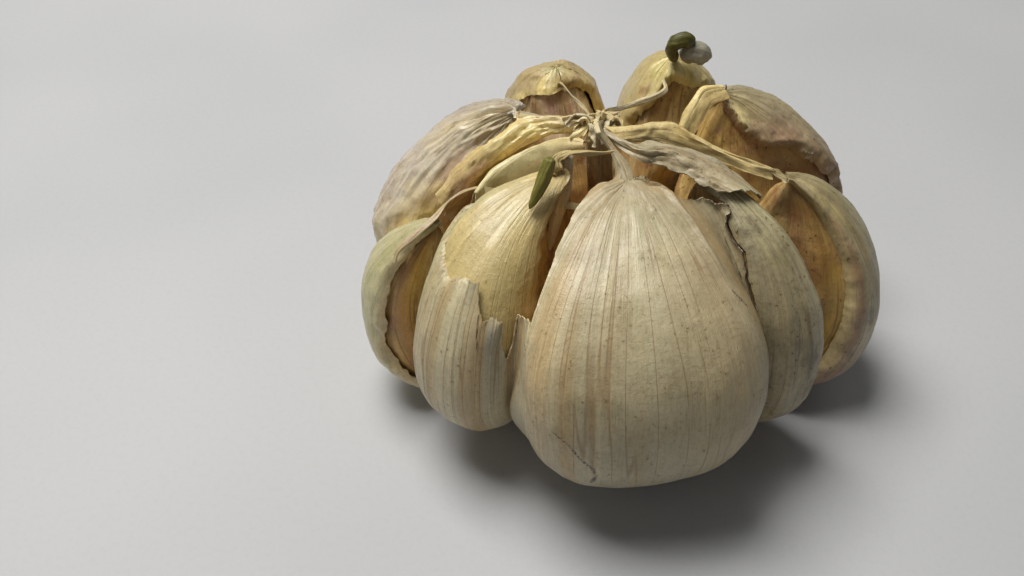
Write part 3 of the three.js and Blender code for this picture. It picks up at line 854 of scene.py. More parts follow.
def make_leaf(name, clove, left, right, hood=None, lift=LAYER, tail=None, tail_width=2.4, twist=1.2,
              start=0.90, roll=2.2, ribs=0.14, dents=0.15, creases=0.08, crumple=0.0, lip=(0.5, 0.5),
              tone=CREAM, washes=(), rims=(None, None), rim_width=1.5, rim_crumple=0.3, wear=0.4, ragged=2.5,
              seed=1, low=0.03):
    """A leaf over a clove. left and right list its edges as (rise, turn).
    Above the hood line of (turn, rise) it is whole. rims colours its edges."""
    form = FORMS[clove]
    girth, length = CLOVES[clove]
    mm_per_degree = girth / 360
    span = (max(min(t for _, t in left) - 2, -180), min(max(t for _, t in right) + 2, 180))
    if hood is not None:
        span = (-180, 180)
    across = np.linspace(*span, int((span[1] - span[0]) * mm_per_degree / ACROSS_STEP))
    along = np.linspace(low, 0.985, int(length * (0.985 - low) / ALONG_STEP))
    if tail is not None:
        along = np.concatenate([along, np.linspace(1.0, 2.0, 36)])

    def edge_distance(turn, rise):
        body = np.minimum(rise, 0.96)
        left_fray = fray(turn, body, girth, length, seed)
        right_fray = fray(turn, body, girth, length, seed + 50)
        sides = np.minimum(turn - read_line(left, body + 0.004 * ragged * right_fray) + ragged * left_fray,
                           read_line(right, body + 0.004 * ragged * left_fray) - turn + ragged * right_fray)
        distance = sides * mm_per_degree
        if hood is not None:
            above = (body - read_line(hood, turn)) * length
            distance = np.maximum(distance, above + 0.16 * ragged * left_fray)
        return distance

    turn, rise = np.meshgrid(across, along)
    turn, rise, kept = torn(turn, rise, edge_distance)
    body = np.minimum(rise, 0.985)
    points = surface(form, turn, body)
    normal = outward(form, turn, body)
    edge = np.clip(edge_distance(turn, rise), 0, 90)
    lie = fibre_lie(turn, body, girth, length)
    drawn_out = lie * (1, 1, 0.28) * MM
    on_left = turn < 0
    fading = 1 - 0.7 * ease(0.80, 0.95, rise)
    height = ribs * fading * streaks(turn, rise, girth, seed, 0.45, 2.0) + dents * lumps(points, 9.0, seed, 2)
    height = height + 0.05 * fading * streaks(turn, rise, girth, seed + 5, 1.2, 3.0)
    height = height + creases * folds(drawn_out, 4.5, seed + 9) + crumple * folds(points, 7.0, seed + 4)
    height = height + rim_crumple * np.exp(-(edge / 2.6) ** 2) * folds(points, 5.5, seed + 3)
    height = height + np.where(on_left, *lip) * lip_height(edge)
    points = points + normal * ((lift + height * ease(0, 0.1, rise)) * MM)[..., None]
    if tail is not None:
        ends = (read_line(left, 0.96), read_line(right, 0.96))
        points = gather(points, turn, rise, ends, tail, tail_width, twist, start, roll, seed)
    wobble = lumps(points, 4.5, seed + 30, 3)
    colour = np.ones(turn.shape + (3,)) * tone * (1 + 0.10 * wobble[..., None])
    colour = washed(colour, turn, rise, washes, wobble)
    for rim, here in zip(rims, (on_left, ~on_left)):
        if rim is not None:
            amount = (here * np.exp(-(edge / (rim_width * (1 + 0.5 * wobble))) ** 2))[..., None]
            colour = colour * (1 - amount) + np.array(rim) * amount
    worn = np.clip(wear + 0.5 * wobble, 0, 1)
    return lay_sheet(name, points, kept, colour, lie, worn)


def make_strip(name, stations, width, twist, roll=2.2, tone=CREAM, ends=(0.6, 0.4), seed=1, wear=0.3):
    """A loose dry strip along a line, widest in its middle; ends gives its width there as a share."""
    length = sum(math.dist(a, b) for a, b in zip(stations, stations[1:])) / MM
    side, share = np.meshgrid(np.linspace(-0.5, 0.5, 14), np.linspace(0, 1, max(24, int(length / 0.4))))
    across = width * np.interp(share, (0, 0.35, 1), (ends[0], 1, ends[1]))
    points = ribbon(stations, share, side, across, twist, roll, seed)
    wobble = lumps(points, 3.0, seed + 30, 3)
    colour = np.ones(side.shape + (3,)) * tone * (1 + 0.16 * wobble[..., None])
    grain = np.stack([side * width, side * 0 + seed * 3.0, share * length], -1)
    return lay_sheet(name, points, np.full(side.shape, True), colour, grain, np.clip(wear + 0.5 * wobble, 0, 1))


def make_net(name, rails, tone, washes=(), ragged=0.0, crumple=0.2, seed=1, wear=0.4):
    """A loose sheet through lines of stations laid side by side."""
    rails = [polar(rail) for rail in rails]
    length = max(sum(math.dist(a, b) for a, b in zip(rail, rail[1:])) for rail in rails) / MM
    width = max(math.dist(a, b) for a, b in zip(rails[0], rails[-1])) / MM
    across = np.linspace(0, 1, max(16, int(width / 0.35)))
    along = np.linspace(0, 1, max(24, int(length / 0.4)))

    def held(side, share):
        away = np.minimum(np.minimum(side, 1 - side) * width, np.minimum(share, 1 - share) * length)
        flat = np.stack([side * width, share * length, side * 0], -1) * MM
        return away + 0.02 + ragged * (lumps(flat, 2.0, seed, 4) - 0.3)

    side, share = np.meshgrid(across, along)
    if ragged:
        side, share, kept = torn(side, share, held)
    else:
        kept = np.full(side.shape, True)
    lines = np.stack([along_line(rail, share) for rail in rails], 0)
    position = np.clip(side, 0, 1) * (len(rails) - 1)
    first = np.minimum(np.floor(position).astype(int), len(rails) - 2)
    rows, columns = np.indices(side.shape)
    points = 0
    for i, weight in enumerate(blend_weights(position - first)):
        points = points + weight[..., None] * lines[np.clip(first - 1 + i, 0, len(rails) - 1), rows, columns]
    drawn_out = np.stack([side * width, share * length * 0.22, side * 0], -1) * MM
    lift = crumple * folds(drawn_out, 2.6, seed) + 0.10 * lumps(
        np.stack([side * width, share * length * 0.15, side * 0], -1) * MM, 0.9, seed + 2, 2)
    points = points + facing(points) * (lift * MM)[..., None]
    wobble = lumps(points, 3.0, seed + 30, 3)
    colour = np.ones(side.shape + (3,)) * tone * (1 + 0.16 * wobble[..., None])
    for at_side, at_share, side_spread, share_spread, wash, amount in washes:
        away = ((side - at_side) / side_spread) ** 2 + ((share - at_share) / share_spread) ** 2
        spread = amount * np.exp(-np.clip(away * (1 + 0.7 * wobble), 0, 50))[..., None]
        colour = colour * (1 - spread) + np.array(wash) * spread
    grain = np.stack([side * width, side * 0 + seed * 3.0, share * length], -1)
    return lay_sheet(name, points, kept, colour, grain, np.clip(wear + 0.5 * wobble, 0, 1))


grey_paper = skin_finish("grey_paper", (0.20, 0.13, 0.07), 0.6, (0.38, 0.30, 0.16), 0.6,
                         (0.19, 0.165, 0.10), 0.75, freckle_share=0.7, rough=0.40, bump=0.5, coat=0.08)
tan_paper = skin_finish("tan_paper", (0.40, 0.25, 0.10), 0.5, (0.56, 0.44, 0.19), 0.45,
                        (0.40, 0.28, 0.13), 0.55, freckle_share=0.4, rough=0.33, bump=0.45, coat=0.25)
silver_skin = skin_finish("silver_skin", (0.28, 0.18, 0.13), 0.3, (0.50, 0.40, 0.31), 0.4,
                          (0.42, 0.30, 0.27), 0.5, freckle_share=0.25, rough=0.24, bump=0.6, coat=0.6)
green_paper = skin_finish("green_paper", (0.32, 0.27, 0.11), 0.45, (0.48, 0.44, 0.22), 0.5,
                          (0.38, 0.36, 0.20), 0.35, freckle_share=0.3, rough=0.36, bump=0.4, coat=0.15)
yellow_skin = skin_finish("yellow_skin", (0.44, 0.30, 0.11), 0.35, (0.62, 0.49, 0.22), 0.5,
                          (0.50, 0.40, 0.19), 0.35, freckle_share=0.45, rough=0.28, bump=0.5, coat=0.35,
                          wrinkle=0.9)
YELLOW = (0.80, 0.64, 0.25)
DRIED_PURPLE = (0.30, 0.12, 0.09)


def dried_band(turn_spread, rise_spread, share, *places):
    """Washes of dried purple, one at each (turn, rise), that run together into a band."""
    return [(turn, rise, turn_spread, rise_spread, DRIED_PURPLE, share) for turn, rise in places]


# The skin of the front left clove shows above the torn wrapper, glossy and fine-creased.
finish_piece(make_leaf(
    "leaf_front_left_skin", "front_left",
    left=((0, -105), (0.8, -105), (0.9, -130), (1, -150)),
    right=((0, 95), (0.55, 92), (0.62, 90), (0.85, 90), (0.92, 110), (1, 140)),
    tail=polar([(15.0, -40, 44.8), (13.4, -47, 46.4), (11.6, -45, 47.4), (10.2, -33, 48), (9.1, -18, 48.1),
                (8.0, -8, 48)]),
    tail_width=2.4, tone=(0.71, 0.56, 0.245), ribs=0.03, dents=0.25, creases=0.03, lip=(0.2, 0.8),
    rims=(None, (0.66, 0.50, 0.32)), rim_width=1.4, rim_crumple=0.2,
    washes=[(-55, 0.70, 20, 0.16, (0.52, 0.53, 0.33), 0.75), (10, 0.70, 16, 0.06, (0.86, 0.70, 0.36), 0.6),
            (70, 0.72, 14, 0.18, (0.60, 0.46, 0.21), 0.6), (40, 0.66, 20, 0.05, (0.55, 0.44, 0.20), 0.6),
            (10, 0.80, 30, 0.07, (0.74, 0.65, 0.37), 0.6)],
    wear=0.25, seed=2), yellow_skin, "yellow_skin", "leaf_front_left")

finish_piece(make_net("leaf_front_left_fold", [
    [(12.0, -54, 45.4), (12.6, -47.5, 44.4), (14.2, -41.5, 42.2), (16.2, -37.0, 39.6), (18.0, -34.5, 36.6),
     (19.4, -33.6, 33.0)],
    [(11.2, -50, 46.8), (11.9, -44.5, 45.2), (13.4, -39.4, 42.8), (15.6, -35.2, 40.0), (17.5, -33.2, 36.8),
     (19.0, -32.6, 33.0)],
    [(10.0, -47, 46.6), (10.9, -41.5, 44.8), (12.4, -37.0, 42.0), (14.8, -33.8, 39.0), (17.0, -32.2, 35.8),
     (18.6, -31.8, 32.4)],
    [(9.6, -49, 45.0), (10.4, -43.5, 43.0), (11.8, -39.0, 40.0), (14.0, -36.0, 37.0), (16.2, -34.0, 34.0),
     (18.0, -33.0, 31.0)],
], (0.80, 0.68, 0.47), washes=[(0.2, 0.3, 0.2, 0.3, (0.74, 0.56, 0.30), 0.7)], ragged=0.3, crumple=0.15,
    seed=51, wear=0.3), yellow_skin, "yellow_skin", "leaf_front_left")

# The front right clove's leaf meets the wrapper at the crack. Its outer layer is torn in scallops below the tip
# and runs on to the neck as a broad fibrous strip.
CRACK_RISES = np.linspace(0.02, 0.98, 240)
FRONT_HEIGHTS = surface(FORMS["front"], float(WRAPPER_RIGHT_EDGE), CRACK_RISES)[:, 2]
LANDING_RISES = at_height(FORMS["front_right"], RIGHT_LANDING, FRONT_HEIGHTS)
CRACK = [(np.interp(rise, CRACK_RISES, LANDING_RISES), turn - RIGHT_SHIFT + 2.0)
         for rise, turn in FRONT_RIGHT_EDGE if rise < 0.825]
finish_piece(make_leaf(
    "leaf_front_right_skin", "front_right", left=[*CRACK, (0.86, -70), (0.90, -110), (0.93, -170)],
    right=((0, 105), (0.85, 112), (0.93, 170), (1, 175)),
    tone=(0.42, 0.365, 0.225), lip=(0.05, 0.2), ragged=1.0, dents=0.2, rim_crumple=0.05, lift=0.8 * LAYER,
    washes=[(-50, 0.64, 16, 0.16, (0.30, 0.25, 0.15), 0.8), (8, 0.55, 22, 0.3, (0.54, 0.48, 0.32), 0.6),
            (-20, 0.40, 30, 0.1, (0.42, 0.37, 0.26), 0.6), (-30, 0.72, 18, 0.05, (0.30, 0.27, 0.14), 0.6),
            # The pale wash at turn -20, rise 0.8 is painted light that takes out the strip's shadow on the
            # leaf's top.
            (-20, 0.80, 60, 0.07, (0.72, 0.68, 0.42), 0.85), (-50, 0.84, 16, 0.04, (0.70, 0.62, 0.43), 0.7),
            (20, 0.7, 20, 0.1, (0.46, 0.42, 0.24), 0.6)],
    wear=0.75, seed=3), grey_paper, "grey_paper", "leaf_front_right")
finish_piece(make_net("leaf_front_right_strip", [
    [(4.6, -40, 47.4), (8.4, 16.2, 47.0), (10, 33, 46.2), (12.6, 46, 45.2), (15.5, 50, 44.5), (18.6, 52, 44.3)],
    [(4.8, -44, 48.0), (8.4, 20.3, 48.0), (9.7, 42, 47.4), (12.9, 52, 46.4), (16.5, 56, 45.5),
     (21.2, 58, 44.6)],
    [(4.8, -48, 48.3), (8.0, 19, 48.3), (9.2, 47, 48.0), (12.9, 58.5, 47.0), (16.8, 62, 45.9),
     (22.6, 63.5, 43.9)],
    [(4.6, -52, 48.1), (7.0, 17, 48.1), (7.6, 50, 47.8), (12.0, 67, 46.6), (17, 69, 45.4), (23.6, 68, 42.2)],
    [(4.4, -56, 47.6), (6.1, 15.8, 47.5), (6.4, 55, 47.0), (11.4, 75, 45.6), (17.3, 75.5, 43.6),
     (23.4, 72, 40.4)],
], (0.56, 0.48, 0.31), washes=[(0.1, 0.5, 0.25, 0.3, (0.66, 0.58, 0.40), 0.6),
                                (0.5, 1.0, 0.5, 0.1, (0.50, 0.49, 0.28), 0.7),
                                (0.6, 0.6, 0.2, 0.3, (0.36, 0.32, 0.22), 0.7),
                                (0.15, 0.6, 0.12, 0.4, (0.34, 0.28, 0.17), 0.7)],
    ragged=0.9, crumple=0.3, seed=31, wear=0.6), cream_paper, "grey_paper", "leaf_front_right")

# The right clove's leaf has dried back from its brown face, with a thick pale edge. Its yellow tail runs
# along the top of its neighbour to the neck.
finish_piece(make_leaf(
    "leaf_right_skin", "right",
    left=((0, -70), (0.25, -63), (0.33, -62), (0.43, -62), (0.49, -60), (0.55, -58), (0.64, -58), (0.73, -62),
          (0.82, -67), (0.90, -84), (1, -150)),
    right=((0, 115), (0.9, 115), (1, 140)),
    tail=polar([(26.6, 86, 41.2), (24.8, 85.6, 42.0), (22.4, 85, 42.8), (19.6, 84.5, 43.5)]),
    tail_width=1.8, twist=0.3, roll=1.2, ragged=1.2,
    tone=(0.46, 0.385, 0.22), lip=(1.0, 0.3), rims=((0.92, 0.74, 0.38), None), rim_width=1.3,
    rim_crumple=0.12,
    washes=[(-38, 0.45, 8, 0.2, (0.66, 0.58, 0.44), 0.6), (-30, 0.66, 18, 0.2, (0.50, 0.42, 0.24), 0.5),
            *dried_band(5, 0.045, 0.75, (-53, 0.74), (-50, 0.68), (-49, 0.61), (-49, 0.54), (-50, 0.47),
                        (-52, 0.40), (-53, 0.33), (-54, 0.26), (-57, 0.20)),
            (0, 0.3, 60, 0.12, (0.50, 0.44, 0.30), 0.6),
            (-46, 0.28, 12, 0.1, (0.42, 0.26, 0.20), 0.8), (10, 0.7, 30, 0.2, (0.36, 0.34, 0.19), 0.6),
            (-40, 0.85, 18, 0.08, (0.70, 0.58, 0.30), 0.7), (0, 1.6, 180, 0.6, YELLOW, 0.9)],
    wear=0.6, seed=4), grey_paper, "grey_paper", "leaf_right")
finish_piece(make_net("leaf_right_fold", [
    [(3.8, -50, 48.2), (2.7, 70, 47.9), (4.7, 100, 47.4), (7.3, 104, 47.0), (9.8, 95, 46.2), (13.0, 89, 45.2),
     (17.0, 85, 44.1), (21.5, 85.4, 43.0), (24.6, 86.2, 41.8)],
    [(4.2, -30, 48.6), (3.2, 60, 48.4), (5.2, 90, 48.2), (7.8, 95, 47.9), (10.2, 90, 47.0), (13.2, 86.5, 45.9),
     (17.0, 84, 44.8), (21.2, 84.6, 43.5), (24.4, 85.6, 42.2)],
    [(4.6, -10, 47.8), (3.8, 40, 47.6), (5.5, 76, 47.2), (8.2, 84, 46.8), (10.8, 85, 46.0), (13.8, 83.5, 45.2),
     (17.4, 82.6, 44.3), (21.0, 83.6, 43.1), (24.2, 84.8, 41.8)],
    [(4.6, 2, 46.8), (4.0, 35, 46.6), (5.6, 72, 46.0), (8.4, 79, 45.2), (11.2, 81, 44.6), (14.2, 80.5, 43.9),
     (17.8, 80.6, 43.0), (21.2, 82, 42.0), (24.2, 83.6, 41.0)],
], (0.86, 0.68, 0.33), washes=[(0.5, 0.45, 0.5, 0.1, (0.80, 0.58, 0.22), 0.6)], ragged=0.3, crumple=0.3,
    seed=41, wear=0.3), yellow_skin, "grey_paper", "leaf_right")

# The back right clove's leaf has a crumpled inner edge and a flat yellow strip that hangs from its peak.
finish_piece(make_leaf(
    "leaf_back_right_skin", "back_right",
    left=((0, -30), (0.3, -34), (0.45, -44), (0.53, -48), (0.60, -60), (0.67, -75), (0.72, -99), (0.77, -108),
          (0.83, -128), (0.88, -150), (1, -175)),
    right=((0, 95), (0.5, 112), (0.7, 130), (0.85, 145), (1, 175)),
    tone=(0.50, 0.45, 0.27), lip=(1.2, 0.3), rims=((0.58, 0.37, 0.24), (0.70, 0.57, 0.27)), rim_width=1.8,
    rim_crumple=0.5, crumple=0.05, dents=0.25,
    washes=[(-62, 0.74, 25, 0.07, (0.62, 0.44, 0.30), 0.7),
            *dried_band(9, 0.03, 0.8, (-30, 0.44), (-35, 0.52), (-43, 0.585), (-52, 0.64), (-64, 0.695),
                        (-78, 0.74), (-92, 0.775)),
            (-90, 0.70, 12, 0.03, (0.40, 0.19, 0.14), 0.6), (-105, 0.86, 34, 0.06, (0.84, 0.69, 0.31), 0.85),
            (-60, 0.92, 50, 0.05, (0.74, 0.64, 0.36), 0.7), (20, 0.8, 40, 0.1, (0.58, 0.52, 0.33), 0.6),
            (-40, 0.66, 14, 0.1, (0.44, 0.31, 0.22), 0.6), (-78, 0.70, 12, 0.05, (0.48, 0.24, 0.18), 0.7)],
    wear=0.6, ragged=4, seed=5), grey_paper, "grey_paper", "leaf_back_right")
finish_piece(make_net("leaf_back_right_ribbon", [
    [(24.5, 139, 44.8), (21.4, 142.5, 45.2), (19.6, 143.6, 44.0), (17.7, 143.6, 42.4), (16.2, 143, 40.6),
     (15.0, 143, 38.6)],
    [(24.0, 137.6, 45.2), (20.8, 140.8, 45.4), (18.8, 141.0, 44.2), (16.9, 140.6, 42.6), (15.4, 139.8, 40.8),
     (14.3, 139.6, 38.8)],
    [(24.0, 135.8, 44.6), (20.9, 138.4, 44.6), (19.0, 137.8, 43.4), (17.2, 136.8, 42.0), (15.8, 135.8, 40.4),
     (14.8, 135.4, 38.6)],
    [(24.2, 133.2, 43.6), (21.2, 134.6, 43.2), (19.4, 133.6, 42.0), (17.6, 132.6, 40.6), (16.2, 131.8, 39.2),
     (15.2, 131.4, 37.6)],
], (0.88, 0.70, 0.32), washes=[(1.0, 0.5, 0.3, 0.6, (0.62, 0.40, 0.14), 0.8)],
    ragged=0.25, crumple=0.2, seed=43, wear=0.3), yellow_skin, "grey_paper", "leaf_back_right")

# The back clove's leaf closes over its tip as a yellow folded hood, and leaves for the neck as a twisted strip.
finish_piece(make_leaf(
    "leaf_back_skin", "back",
    left=((0, -85), (0.5, -78), (0.62, -72), (0.70, -76), (0.75, -92), (0.785, -108), (0.83, -120)),
    right=((0, 100), (0.5, 115), (0.60, 128), (0.66, 142), (0.70, 158), (0.73, 160)),
    hood=((-180, 0.80), (-160, 0.83), (-135, 0.82), (-108, 0.785), (-90, 0.80), (140, 0.80), (158, 0.71),
          (172, 0.74), (180, 0.80)),
    tone=(0.64, 0.52, 0.23), lip=(0.9, 0.6), rims=((0.95, 0.78, 0.33), (0.74, 0.56, 0.22)), rim_width=1.8,
    rim_crumple=0.3, crumple=0.06,
    # The hood's own yellow is pushed to full brightness at turn 175, partly as a painted highlight.
    washes=[(175, 0.87, 50, 0.09, (1.0, 0.88, 0.36), 0.98), (75, 0.7, 30, 0.2, (0.52, 0.43, 0.21), 0.6),
            (-60, 0.8, 30, 0.1, (0.60, 0.50, 0.25), 0.6),
            (150, 0.775, 8, 0.025, (0.40, 0.19, 0.14), 0.85), (120, 0.82, 14, 0.06, (0.66, 0.52, 0.22), 0.6)],
    ribs=0.08, dents=0.3, wear=0.4, ragged=3, seed=6), tan_paper, "tan_paper", "leaf_back")
finish_piece(make_strip("leaf_back_tail", polar([
    (21.2, 163, 44.2), (18.7, 158.5, 44.0), (14.5, 161, 44.4), (10.7, 170.5, 44.9), (6.5, -171, 46.2),
    (3.8, -120, 48.2), (5.2, -52, 49.6), (7.6, -28, 49.9)]), 1.2, 3.0, roll=1.8, tone=(0.85, 0.73, 0.46),
    ends=(0.6, 0.9), seed=6),
    yellow_skin, "tan_paper", "leaf_back")

# The back left clove's leaf ends in a ragged hood too, with one thin thread left to the neck.
finish_piece(make_leaf(
    "leaf_back_left_skin", "back_left",
    left=((0, -95), (0.6, -98), (0.70, -101), (0.77, -112), (0.80, -125), (0.82, -130)),
    right=((0, 75), (0.5, 78), (0.65, 82), (0.72, 88), (0.78, 104), (0.805, 125), (0.82, 130)),
    hood=((-180, 0.83), (-150, 0.825), (-125, 0.80), (-100, 0.80), (104, 0.80), (125, 0.805), (152, 0.81),
          (180, 0.83)),
    tone=(0.58, 0.46, 0.23), lip=(0.7, 0.1), rims=((0.86, 0.66, 0.28), (0.98, 0.80, 0.34)), rim_width=2.0,
    rim_crumple=0.2, crumple=0.22,
    washes=[(150, 0.93, 90, 0.05, (0.56, 0.56, 0.24), 0.7), (125, 0.84, 16, 0.05, (1.0, 0.80, 0.32), 0.8),
            (-140, 0.84, 20, 0.03, (0.52, 0.34, 0.22), 0.6), (60, 0.7, 40, 0.2, (0.50, 0.38, 0.21), 0.5),
            (170, 0.87, 40, 0.04, (0.74, 0.59, 0.26), 0.6)],
    ribs=0.05, dents=0.5, wear=0.5, ragged=2.0, seed=7), tan_paper, "tan_paper", "leaf_back_left")
finish_piece(make_strip("leaf_back_left_thread", polar([(26, -154, 39.5), (24.2, -152.3, 41.4), (19, -151, 42),
                                                        (12.4, -145.2, 44), (6.4, -123.8, 46.4)]),
                        1.0, 3.0, tone=(0.66, 0.56, 0.33), ends=(1.6, 0.5), seed=7),
             tan_paper, "tan_paper", "leaf_back_left")

# The left back clove keeps a glossy silver skin with a thick golden edge that runs on as its tail.
finish_piece(make_leaf(
    "leaf_left_back_skin", "left_back",
    left=((0, -105), (0.9, -105), (1, -150)),
    right=((0, 60), (0.3, 66), (0.45, 80), (0.50, 89), (0.56, 103), (0.62, 114), (0.70, 130), (0.80, 148),
           (0.88, 166), (0.93, 174), (1, 175)),
    tail=polar([(20.6, -110, 43), (19, -114.6, 43.2), (14.8, -113, 44.2), (11.1, -112.4, 45.4),
                (7.1, -96.7, 47), (4.9, -76.1, 48.2)]),
    tail_width=3.2, roll=1.6, tone=(0.70, 0.65, 0.53), lip=(0.2, 0.6), rims=(None, (0.95, 0.74, 0.27)),
    rim_width=5.0, rim_crumple=0.35, creases=0.35, crumple=0.15,
    washes=[(40, 0.55, 25, 0.2, (0.54, 0.40, 0.34), 0.5), (60, 0.66, 20, 0.08, (0.78, 0.72, 0.60), 0.6),
            (20, 0.75, 30, 0.08, (0.64, 0.54, 0.43), 0.6), (100, 1.3, 100, 0.45, (0.88, 0.71, 0.29), 0.95),
            (60, 0.42, 20, 0.1, (0.52, 0.47, 0.28), 0.6), (92, 0.66, 8, 0.12, (0.52, 0.28, 0.16), 0.6),
            *dried_band(7, 0.03, 0.7, (64, 0.40), (72, 0.45), (80, 0.50), (92, 0.56), (104, 0.62),
                        (118, 0.69))],
    ribs=0.2, dents=0.3, wear=0.45, seed=8), silver_skin, "silver_skin", "leaf_left_back")
finish_piece(make_net("leaf_left_back_fold", [
    [(30.5, -84.5, 33.0), (27.4, -86.0, 37.0), (24.6, -88.0, 39.8), (21.9, -90.5, 42.0), (19.5, -94, 43.5),
     (16.5, -104, 44.8), (12.5, -106, 45.7), (7.3, -92, 47.0)],
    [(29.6, -80.5, 33.8), (26.8, -81.5, 37.2), (24.1, -82.8, 39.9), (21.7, -85.0, 42.0), (19.3, -88.5, 43.4),
     (15.8, -99, 44.8), (11.9, -102, 45.8), (7.2, -88, 47.6)],
    [(28.8, -78.5, 32.4), (26.3, -79.0, 35.6), (23.8, -80.2, 38.4), (21.4, -82.0, 40.6), (18.9, -85.4, 42.2),
     (15.0, -95, 43.9), (11.2, -98.4, 45.2), (6.9, -85, 47.2)],
    [(28.8, -81.9, 30.0), (26.4, -82.3, 33.0), (23.8, -82.5, 36.0), (21.3, -83.7, 38.5), (18.6, -87.7, 40.4),
     (14.3, -94.7, 42.8), (10.5, -97.1, 44.6), (6.7, -87.7, 46.7)],
    [(28.8, -87.5, 26.0), (26.3, -88.2, 29.0), (23.7, -89.5, 32.0), (21.0, -90.8, 35.0), (18.5, -94.9, 37.6),
     (14.5, -103.2, 40.4), (10.7, -104.7, 42.9), (6.5, -87.0, 46.0)],
], (0.98, 0.78, 0.33), washes=[(0.15, 0.15, 0.3, 0.2, (0.72, 0.50, 0.24), 0.7),
    (0.35, 0.62, 0.3, 0.2, (1.0, 0.82, 0.36), 0.8), (0.55, 0.20, 0.30, 0.26, (0.42, 0.19, 0.12), 0.85),
                               (0.95, 0.4, 0.2, 0.6, (0.42, 0.22, 0.10), 0.8),
                               (0.5, 0.1, 0.12, 0.12, (0.56, 0.30, 0.20), 0.6),
                               (0.3, 0.95, 0.6, 0.15, (0.84, 0.74, 0.52), 0.8)],
    ragged=0.3, crumple=0.42, seed=47, wear=0.5), yellow_skin, "silver_skin", "leaf_left_back")

# The left clove's pale green leaf covers its outer side and is rolled white along the top.
finish_piece(make_leaf(
    "leaf_left_skin", "left",
    left=((0, -115), (0.9, -115), (1, -150)),
    right=((0, 50), (0.2, 49), (0.3, 48), (0.4, 43), (0.5, 44), (0.6, 40), (0.7, 35), (0.8, 33), (0.9, 60),
           (1, 150)),
    tone=(0.60, 0.54, 0.31), lip=(0.3, 0.6), rims=(None, (0.68, 0.52, 0.30)), rim_width=0.9, rim_crumple=0.35,
    washes=[(0, 0.25, 60, 0.1, (0.68, 0.60, 0.43), 0.7), (10, 0.6, 15, 0.2, (0.50, 0.49, 0.22), 0.5),
            (20, 0.97, 180, 0.07, (0.76, 0.66, 0.44), 0.9), (40, 0.24, 12, 0.06, (0.72, 0.63, 0.48), 0.8)],
    wear=0.3, ragged=4, seed=9), green_paper, "green_paper", "leaf_left")
finish_piece(make_strip("leaf_left_roll", polar([(39.2, -58.2, 33), (38.2, -58.8, 34.9), (35.5, -60.3, 36.4),
                                                 (31.7, -63, 37.6), (28.7, -67, 38.3), (26, -70, 38.8),
                                                 (23.4, -73, 38.4)]),
                        1.9, 0.9, roll=2.4, tone=(0.80, 0.70, 0.45), ends=(0.5, 0.7), seed=9),
             cream_paper, "green_paper", "leaf_left")

# The inner clove's smooth skin fills the gap between the left cloves. Its yellow is painted lighter than its
# own, as painted light falling on it.
finish_piece(make_net("leaf_inner_skin", [
    [(26, -76, 31), (23, -84, 33), (19, -90, 35), (15, -95, 37), (10.5, -92, 40), (7.5, -76, 44),
     (5.6, -58, 46.2)],
    [(24.6, -71.5, 36), (21.6, -79, 38.6), (17.6, -84, 40.4), (14.0, -87, 42), (10.6, -84, 44),
     (8.2, -70, 46.2), (6.6, -52, 47)],
    [(23.9, -69.3, 38.5), (20.8, -74.6, 40.5), (17.4, -78.7, 42), (14.2, -80.3, 43.5), (11.2, -78.5, 45),
     (9.2, -66.9, 46.5), (7.8, -48.9, 47.2)],
    [(23.8, -68, 36), (20.4, -72, 38.6), (17, -75, 40.4), (13.8, -75.6, 42), (11.2, -71, 44.2),
     (9.4, -60.5, 46), (8.0, -45, 46.8)],
    [(23.0, -69, 31), (19.4, -71.4, 34), (16, -72, 36), (13, -71, 38), (10.9, -65.9, 41.4), (9.2, -57, 44.4),
     (7.9, -44, 46)],
], (0.98, 0.84, 0.44), washes=[(0.6, 0.3, 0.3, 0.4, (0.90, 0.84, 0.48), 0.5),
                               (0.5, 0.9, 0.6, 0.2, (0.80, 0.62, 0.32), 0.7)],
    crumple=0.15, seed=10, wear=0.1), yellow_skin, "yellow_skin", "leaf_inner")


# ---------------------------------------------------------------------------
# The neck.
# The dried stub of the stem that all the leaves run up to, twisted and straw
# coloured.

straw = skin_finish("dried_neck", (0.42, 0.31, 0.16), 0.4, (0.62, 0.52, 0.33), 0.5, (0.48, 0.40, 0.27), 0.4,
                    freckle_share=0.4, rough=0.6, bump=0.8)
NECK_LEAN = -3.6
STRAW_IN_PAINTED_SHADE = np.array((0.34, 0.19, 0.06))
STRAW_PALE = np.array((0.82, 0.70, 0.46))


